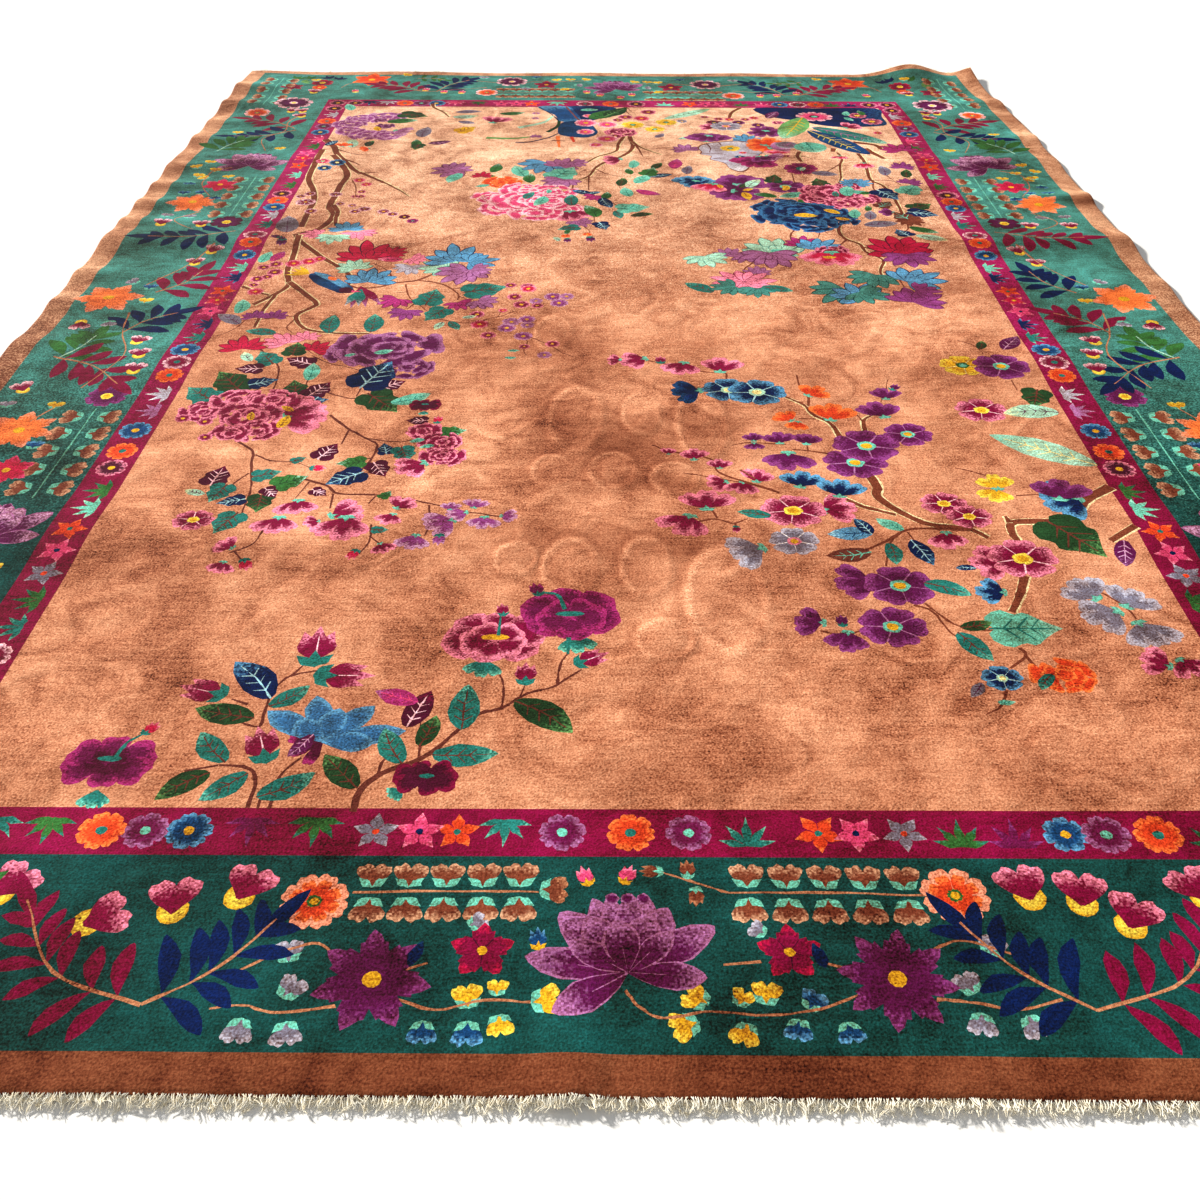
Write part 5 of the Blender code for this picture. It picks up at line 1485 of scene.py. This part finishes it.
def triangulate(rings, loose, cuts):
    """Triangles of the flat plane that follow every ring and cut, with no edge much over the pitch."""
    coords, edges = [], []
    for ring in rings:
        finer = []
        for start, end in zip(ring, np.roll(ring, -1)):
            steps = max(1, round(abs(end - start) / PILE_PITCH))
            finer += [start + (end - start) * step / steps for step in range(steps)]
        first = len(coords)
        edges += [(first + step, first + (step + 1) % len(finer)) for step in range(len(finer))]
        coords += [(point.real, point.imag) for point in finer]
    for start, end in cuts:
        edges.append((len(coords), len(coords) + 1))
        coords += [(start.real, start.imag), (end.real, end.imag)]
    coords += [(point.real, point.imag) for point in loose]
    points, _, triangles, _, _, _ = delaunay_2d_cdt(coords, edges, [], 0, 1e-6, False)
    return np.array([complex(*point) for point in points]), np.array(triangles)


def inside(outline, spots):
    """Which spots a closed outline winds round."""
    start, end = outline[:, None] - spots, np.roll(outline, -1)[:, None] - spots
    left = start.real * end.imag - start.imag * end.real > 0
    up, down = (start.imag <= 0) & (end.imag > 0), (start.imag > 0) & (end.imag <= 0)
    return (up & left).sum(axis=0) != (down & ~left).sum(axis=0)


def topmost(middles, covered):
    """The last drawn shape over each spot."""
    order = np.argsort(middles.imag)
    owner = np.zeros(middles.size, dtype=int)
    for number in covered:
        left, right, near, far = boxes[number]
        first, last = np.searchsorted(middles.imag[order], (near, far))
        spots = order[first:last]
        spots = spots[(middles.real[spots] > left) & (middles.real[spots] < right)]
        owner[spots[inside(design[number].outline, middles[spots])]] = number
    return owner


def knot_pile(piece):
    """One closed mesh: the drawn face, its four walls and a plain underside."""
    columns = spaced(piece.left, piece.right, PILE_PITCH)
    lines = spaced(piece.near, piece.far, PILE_PITCH)
    covered = [number for number, box in enumerate(boxes)
               if box[0] < piece.right and box[1] > piece.left
               and box[2] < piece.far and box[3] > piece.near]
    grid_across, grid_along = np.meshgrid(columns[1:-1], lines[1:-1])
    loose = (grid_across + 1j * grid_along).ravel()
    for inset in (0.002, 0.005, 0.010):
        if piece.near == -LENGTH / 2:
            loose = np.concatenate([loose, columns[1:-1] + 1j * (piece.near + inset)])
        if piece.far == LENGTH / 2:
            loose = np.concatenate([loose, columns[1:-1] + 1j * (piece.far - inset)])
        if piece.left == -WIDTH / 2:
            loose = np.concatenate([loose, piece.left + inset + 1j * lines[1:-1]])
        if piece.right == WIDTH / 2:
            loose = np.concatenate([loose, piece.right - inset + 1j * lines[1:-1]])
    for print_ in PRINTS:
        if piece.left < print_.across < piece.right:
            reach_across, reach_along = 1.35 * print_.reach_across, 1.35 * print_.reach_along
            close_across, close_along = np.meshgrid(
                spaced(print_.across - reach_across, print_.across + reach_across, PRINT_PITCH),
                spaced(print_.along - reach_along, print_.along + reach_along, PRINT_PITCH))
            close = (close_across + 1j * close_along).ravel()
            close = close[(close.imag > piece.near + 0.01) & (close.imag < piece.far - 0.01)]
            loose = np.concatenate([loose, close])
    along_longer = piece.far - piece.near > piece.right - piece.left
    deep, wide = piece.far - piece.near, piece.right - piece.left
    start, size = (piece.near, deep) if along_longer else (piece.left, wide)
    cuts = []
    for cut in range(1, piece.lengths):
        where = start + size * cut / piece.lengths
        cuts.append((piece.left + 1j * where, piece.right + 1j * where) if along_longer
                    else (where + 1j * piece.near, where + 1j * piece.far))
    corners = np.array([piece.left + 1j * piece.near, piece.right + 1j * piece.near,
                        piece.right + 1j * piece.far, piece.left + 1j * piece.far])
    flat, triangles = triangulate([corners] + [design[number].outline for number in covered], loose, cuts)
    middles = flat[triangles].mean(axis=1)
    kept = ((middles.real > piece.left) & (middles.real < piece.right)
            & (middles.imag > piece.near) & (middles.imag < piece.far))
    triangles, shape_of = triangles[kept], topmost(middles[kept], covered)

    used, triangles = np.unique(triangles, return_inverse=True)
    triangles = triangles.reshape(-1, 3)
    flat = flat[used]
    order = []
    for on_side, key in ((np.abs(flat.imag - piece.near) < 1e-6, flat.real),
                         (np.abs(flat.real - piece.right) < 1e-6, flat.imag),
                         (np.abs(flat.imag - piece.far) < 1e-6, -flat.real),
                         (np.abs(flat.real - piece.left) < 1e-6, -flat.imag)):
        side = np.flatnonzero(on_side)
        order.append(side[np.argsort(key[side])][:-1])
    loop = np.concatenate(order)
    sparse_across, sparse_along = np.meshgrid(columns[5:-5:5], lines[5:-5:5])
    base_flat, base_triangles = triangulate([flat[loop]], (sparse_across + 1j * sparse_along).ravel(), [])
    count = flat.size
    nearest = {(round(z.real, 6), round(z.imag, 6)): number for number, z in enumerate(base_flat)}
    low_loop = np.array([nearest[(round(z.real, 6), round(z.imag, 6))] for z in flat[loop]]) + count
    after, low_after = np.roll(loop, -1), np.roll(low_loop, -1)
    walls = np.concatenate([np.stack([loop, low_loop, low_after], 1),
                            np.stack([loop, low_after, after], 1)])
    faces = np.concatenate([triangles, walls, base_triangles[:, ::-1] + count])
    points = np.concatenate([laid(flat, pile_height(flat)), laid(base_flat, PILE_BOTTOM)])
    whole_flat = np.concatenate([flat, base_flat])
    wool = add_piece(piece.name, points, faces.tolist(), pile.material)

    owner = np.concatenate([shape_of, np.zeros(len(faces) - len(triangles), dtype=int)])
    dye_of = {name: number for number, name in enumerate(dye_names)}
    cores = dye_values[np.array([dye_of[s.core] for s in design])][owner]
    rims = dye_values[np.array([dye_of[s.rim] for s in design])][owner]
    centres = np.array([s.centre for s in design])[owner]
    axes = np.array([s.axis for s in design])[owner]
    weights = np.array([s.weights for s in design])[owner]
    local = (whole_flat[faces] - centres[:, None]) / axes[:, None]
    places = np.stack([local.real * weights[:, :1], local.imag * weights[:, 1:],
                       np.zeros(local.shape)], axis=2)
    mesh = wool.data
    # shade carries soiling with painted shade, painted sheen and painted print light; core and rim carry
    # the design
    for name, kind, domain, field, values in (
            ("core", "FLOAT_COLOR", "FACE", "color", cores),
            ("rim", "FLOAT_COLOR", "FACE", "color", rims),
            ("place", "FLOAT_VECTOR", "CORNER", "vector", places),
            ("flat", "FLOAT_VECTOR", "POINT", "vector",
             np.stack([whole_flat.real, whole_flat.imag, 0 * whole_flat.real], 1)),
            ("shade", "FLOAT", "POINT", "value", tone_of(whole_flat))):
        mesh.attributes.new(name, kind, domain).data.foreach_set(field, values.astype(np.float32).ravel())

    # the face is laid out in lengths side by side; the walls and underside share a thin strip
    run, other = whole_flat.real, whole_flat.imag
    if along_longer:
        run, other = other, run
    other_low, other_size = (piece.left, wide) if along_longer else (piece.near, deep)
    run_share, other_share = (run - start) / size, (other - other_low) / other_size
    middles = run_share[faces].mean(axis=1)
    length_of = np.clip(np.floor(middles * piece.lengths), 0, piece.lengths - 1)[:, None]
    u = (length_of + LENGTH_GAP + (1 - 2 * LENGTH_GAP) * other_share[faces]) / piece.lengths
    v = FACE_SHARE * (run_share[faces] * piece.lengths - length_of)
    strip = np.arange(len(faces)) >= len(triangles)
    v[strip] = STRIP_START + STRIP_SHARE * other_share[faces[strip]]
    u[strip] = run_share[faces[strip]]
    layout = mesh.uv_layers.new(name="OFBake")
    layout.data.foreach_set("uv", np.stack([u, v], 2).astype(np.float32).ravel())
    mesh.set_sharp_from_angle(angle=math.radians(50))
    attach(wool, "root")
    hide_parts("pile_rug")
    return wool


pile_pieces = [knot_pile(piece) for piece in PILE_PIECES]

# ---- The fringes -----------------------------------------------------------------------
# Past the last knots a narrow web of plain weave holds the warps, and the warps' ends
# are left as a short fringe, cut by hand and tangled by use.

WEB_DEPTH = 0.006
WEB_THICKNESS = 0.003
WEB_LIFT = 0.0004            # above the rug's underside
STRANDS = 1100               # in each of three layers at an end
STRAND_LAYERS = ((0.0, 0.0088), (0.5, 0.0063), (0.95, 0.0038))    # share of the web's depth, rise
ROOT_DEPTH = 0.002           # of the strands' roots in the pile
STRAND_LENGTH = 0.0155
STRAND_RADIUS = 0.00085
STRAND_LEAN = 0.75           # radians, the most that one turns aside
STRAND_SHARES = (0.7, 1.2)   # of the length, for the shortest and the longest
STRAND_CURL = 1.5
STRAND_SAG = 0.25
STRAND_TAPER = 0.55

cotton = Finish("warp_cotton", Roughness=0.9, Sheen_Weight=0.15)
spot = cotton.node("TexCoord", {}, {}, "Object")
dirt = cotton.noise(spot, 150.0, 3.0)
fibres = cotton.noise(spot, 900.0, 2.0)
yarn = cotton.blended(cotton.between(0.4, 0.6, dirt), dyed(252, 240, 212), dyed(255, 250, 234))
cotton.feed("Base Color", cotton.scaled(yarn, 0.85 + fibres * 0.3))
cotton.bump(fibres, 0.4, 0.0004)


def fringe_tree():
    """Strands along the root line, leaning and curling at random, laid down on the floor."""
    tree = bpy.data.node_groups.new("cut_warps", "GeometryNodeTree")
    sockets = {}
    for name, kind in (("Geometry", "NodeSocketGeometry"), ("Strands", "NodeSocketInt"),
                       ("Length", "NodeSocketFloat"), ("Radius", "NodeSocketFloat"),
                       ("Heading", "NodeSocketFloat"), ("Seed", "NodeSocketInt"),
                       ("Cotton", "NodeSocketMaterial")):
        sockets[name] = tree.interface.new_socket(name, in_out="INPUT", socket_type=kind).identifier
    tree.interface.new_socket("Geometry", in_out="OUTPUT", socket_type="NodeSocketGeometry")

    def node(kind, settings=None, values=None, output=0):
        return add_node(tree, kind, settings or {}, values or {}, output)

    def vector(x, y, z):
        return node("ShaderNodeCombineXYZ", {}, {0: x, 1: y, 2: z})

    def chance(low, high, salt):
        return node("FunctionNodeRandomValue", {"data_type": "FLOAT"},
                    {2: low, 3: high, "Seed": group("Seed") + salt}, 1)

    def group(name):
        return Wire(tree, entry.outputs[name])

    entry = tree.nodes.new("NodeGroupInput")
    root_line = node("GeometryNodeMeshToCurve", {}, {"Mesh": group("Geometry")})
    roots = node("GeometryNodeCurveToPoints", {"mode": "COUNT"},
                 {"Curve": root_line, "Count": group("Strands")})
    strand = node("GeometryNodeCurvePrimitiveLine", {}, {"End": (1.0, 0.0, 0.0)})
    strand = node("GeometryNodeResampleCurve", {}, {"Curve": strand, "Count": 6})
    turn = vector(0.0, 0.0, group("Heading") + chance(-STRAND_LEAN, STRAND_LEAN, 1))
    size = group("Length") * chance(*STRAND_SHARES, 2)
    placed = node("GeometryNodeInstanceOnPoints", {},
                  {"Points": roots, "Instance": strand, "Rotation": turn,
                   "Scale": vector(size, size, size)})
    placed = node("GeometryNodeRealizeInstances", {}, {"Geometry": placed})
    along_strand = node("GeometryNodeSplineParameter")
    curl = node("ShaderNodeTexNoise", {}, {"Scale": 75.0, "Detail": 1.0}, "Color")
    curl = node("ShaderNodeVectorMath", {"operation": "SUBTRACT"}, {0: curl, 1: (0.5, 0.5, 0.42)})
    curl = node("ShaderNodeVectorMath", {"operation": "SCALE"},
                {0: curl, "Scale": along_strand * group("Length") * STRAND_CURL})
    placed = node("GeometryNodeSetPosition", {}, {"Geometry": placed, "Offset": curl})
    parts = tree.nodes.new("ShaderNodeSeparateXYZ")
    tree.links.new(node("GeometryNodeInputPosition").socket, parts.inputs[0])
    height = Wire(tree, parts.outputs[2]) - along_strand * group("Length") * STRAND_SAG
    height = height.math("MAXIMUM", height, group("Radius") * 1.2)
    lowered = vector(Wire(tree, parts.outputs[0]), Wire(tree, parts.outputs[1]), height)
    placed = node("GeometryNodeSetPosition", {}, {"Geometry": placed, "Position": lowered})
    thick = group("Radius") * (1.0 - along_strand * STRAND_TAPER)
    profile = node("GeometryNodeCurvePrimitiveCircle", {}, {"Resolution": 4, "Radius": 1.0})
    placed = node("GeometryNodeCurveToMesh", {},
                  {"Curve": placed, "Profile Curve": profile, "Scale": thick, "Fill Caps": True})
    placed = node("GeometryNodeSetMaterial", {}, {"Geometry": placed, "Material": group("Cotton")})
    exit_node = tree.nodes.new("NodeGroupOutput")
    tree.links.new(placed.socket, exit_node.inputs[0])
    return tree, sockets


warp_tree, warp_sockets = fringe_tree()


def make_fringe(name, node, end, seed):
    run = np.linspace(-WIDTH / 2, WIDTH / 2, 160)
    edge = run + 1j * end * LENGTH / 2
    inner, outer = laid(edge, WEB_LIFT), laid(edge + 1j * end * WEB_DEPTH, WEB_LIFT)
    points = np.concatenate([inner, inner + (0, 0, WEB_THICKNESS), outer + (0, 0, WEB_THICKNESS), outer])
    count, faces = run.size, []
    for column in range(count - 1):
        for level in range(4):
            a, b = level * count + column, (level + 1) % 4 * count + column
            faces.append((a, b, b + 1, a + 1) if end < 0 else (a, a + 1, b + 1, b))
    ends = [tuple(level * count for level in range(4)),
            tuple(level * count + count - 1 for level in (3, 2, 1, 0))]
    faces += ends if end > 0 else [cap[::-1] for cap in ends]
    web = add_piece(name, points, faces, cotton.material, smooth=False)
    parts = [web]
    for layer, (share, height) in enumerate(STRAND_LAYERS):
        line = laid(edge + 1j * end * (WEB_DEPTH * share - ROOT_DEPTH), height)
        roots = bpy.data.meshes.new(name + "_roots")
        roots.from_pydata(line.tolist(), [(spot, spot + 1) for spot in range(count - 1)], [])
        strands = bpy.data.objects.new(name + "_strands", roots)
        bpy.context.scene.collection.objects.link(strands)
        weaver = strands.modifiers.new("warps", "NODES")
        weaver.node_group = warp_tree
        for socket, value in (("Strands", STRANDS), ("Length", STRAND_LENGTH), ("Radius", STRAND_RADIUS),
                              ("Heading", end * math.pi / 2), ("Seed", seed + layer),
                              ("Cotton", cotton.material)):
            weaver[warp_sockets[socket]] = value
        bpy.context.view_layer.update()
        drawn = strands.evaluated_get(bpy.context.evaluated_depsgraph_get())
        grown = bpy.data.meshes.new_from_object(drawn)
        strands.modifiers.clear()
        strands.data = grown
        parts.append(strands)
    with bpy.context.temp_override(active_object=web, selected_editable_objects=parts):
        bpy.ops.object.join()
    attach(web, "root")
    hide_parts(node)
    return web


fringes = [make_fringe("warps_near", "fringe_near", -1, 31),
           make_fringe("warps_far", "fringe_far", 1, 41)]

# ---- The room --------------------------------------------------------------------------
# A plain pale floor under soft light. Somebody stands close to the near end and looks
# down the rug with a camera in the hand, so its sides run out of the picture nearby.

EYE_HEIGHT = 1.368
EYE_BEHIND_NEAR_END = 0.763
EYE_ASIDE = 0.0125           # to the right of the rug's middle line
LOOK_DOWN = 38.08            # degrees below level
LOOK_LEFT = 0.77
HELD_ASLANT = -0.345
FOCAL_LENGTH = 35.81

eye = bpy.data.objects.new("eye", bpy.data.cameras.new("eye"))
eye.data.lens = FOCAL_LENGTH
eye.data.clip_start, eye.data.clip_end = 0.05, 100.0
turn = (Matrix.Rotation(math.radians(LOOK_LEFT), 4, "Z")
        @ Matrix.Rotation(math.radians(90 - LOOK_DOWN), 4, "X")
        @ Matrix.Rotation(math.radians(HELD_ASLANT), 4, "Z"))
stand = (set_x + EYE_ASIDE, set_y - LENGTH / 2 - EYE_BEHIND_NEAR_END, EYE_HEIGHT)
eye.matrix_world = Matrix.Translation(stand) @ turn
bpy.context.scene.collection.objects.link(eye)
bpy.context.scene.camera = eye

FLOOR_HALF = 14.0
FLOOR_DROP = 0.0005          # so that nothing lies in the floor's own plane
SKY_STRENGTH = 0.4
SUN_STRENGTH = 6.4
SUN_WIDTH = 5                # degrees, for soft edges of the shadows

paper = Finish("pale_floor", Base_Color=dyed(244, 242, 238), Roughness=0.9)
floor_corners = [(across * FLOOR_HALF, along * FLOOR_HALF, -FLOOR_DROP)
                 for across, along in ((-1, -1), (1, -1), (1, 1), (-1, 1))]
floor = add_piece("floor", floor_corners, [(0, 1, 2, 3)], paper.material)

sky = bpy.data.worlds.new("soft_sky")
sky.use_nodes = True
sky.node_tree.nodes["Background"].inputs["Color"].default_value = (0.95, 0.97, 1.0, 1.0)
sky.node_tree.nodes["Background"].inputs["Strength"].default_value = SKY_STRENGTH
bpy.context.scene.world = sky

sun = bpy.data.objects.new("window_light", bpy.data.lights.new("window_light", "SUN"))
sun.data.energy = SUN_STRENGTH
sun.data.angle = math.radians(SUN_WIDTH)
sun.data.color = (1.0, 0.96, 0.9)
sun.rotation_euler = (math.radians(-64), 0.0, math.radians(50))
bpy.context.scene.collection.objects.link(sun)
bpy.context.scene.view_settings.view_transform = "Standard"
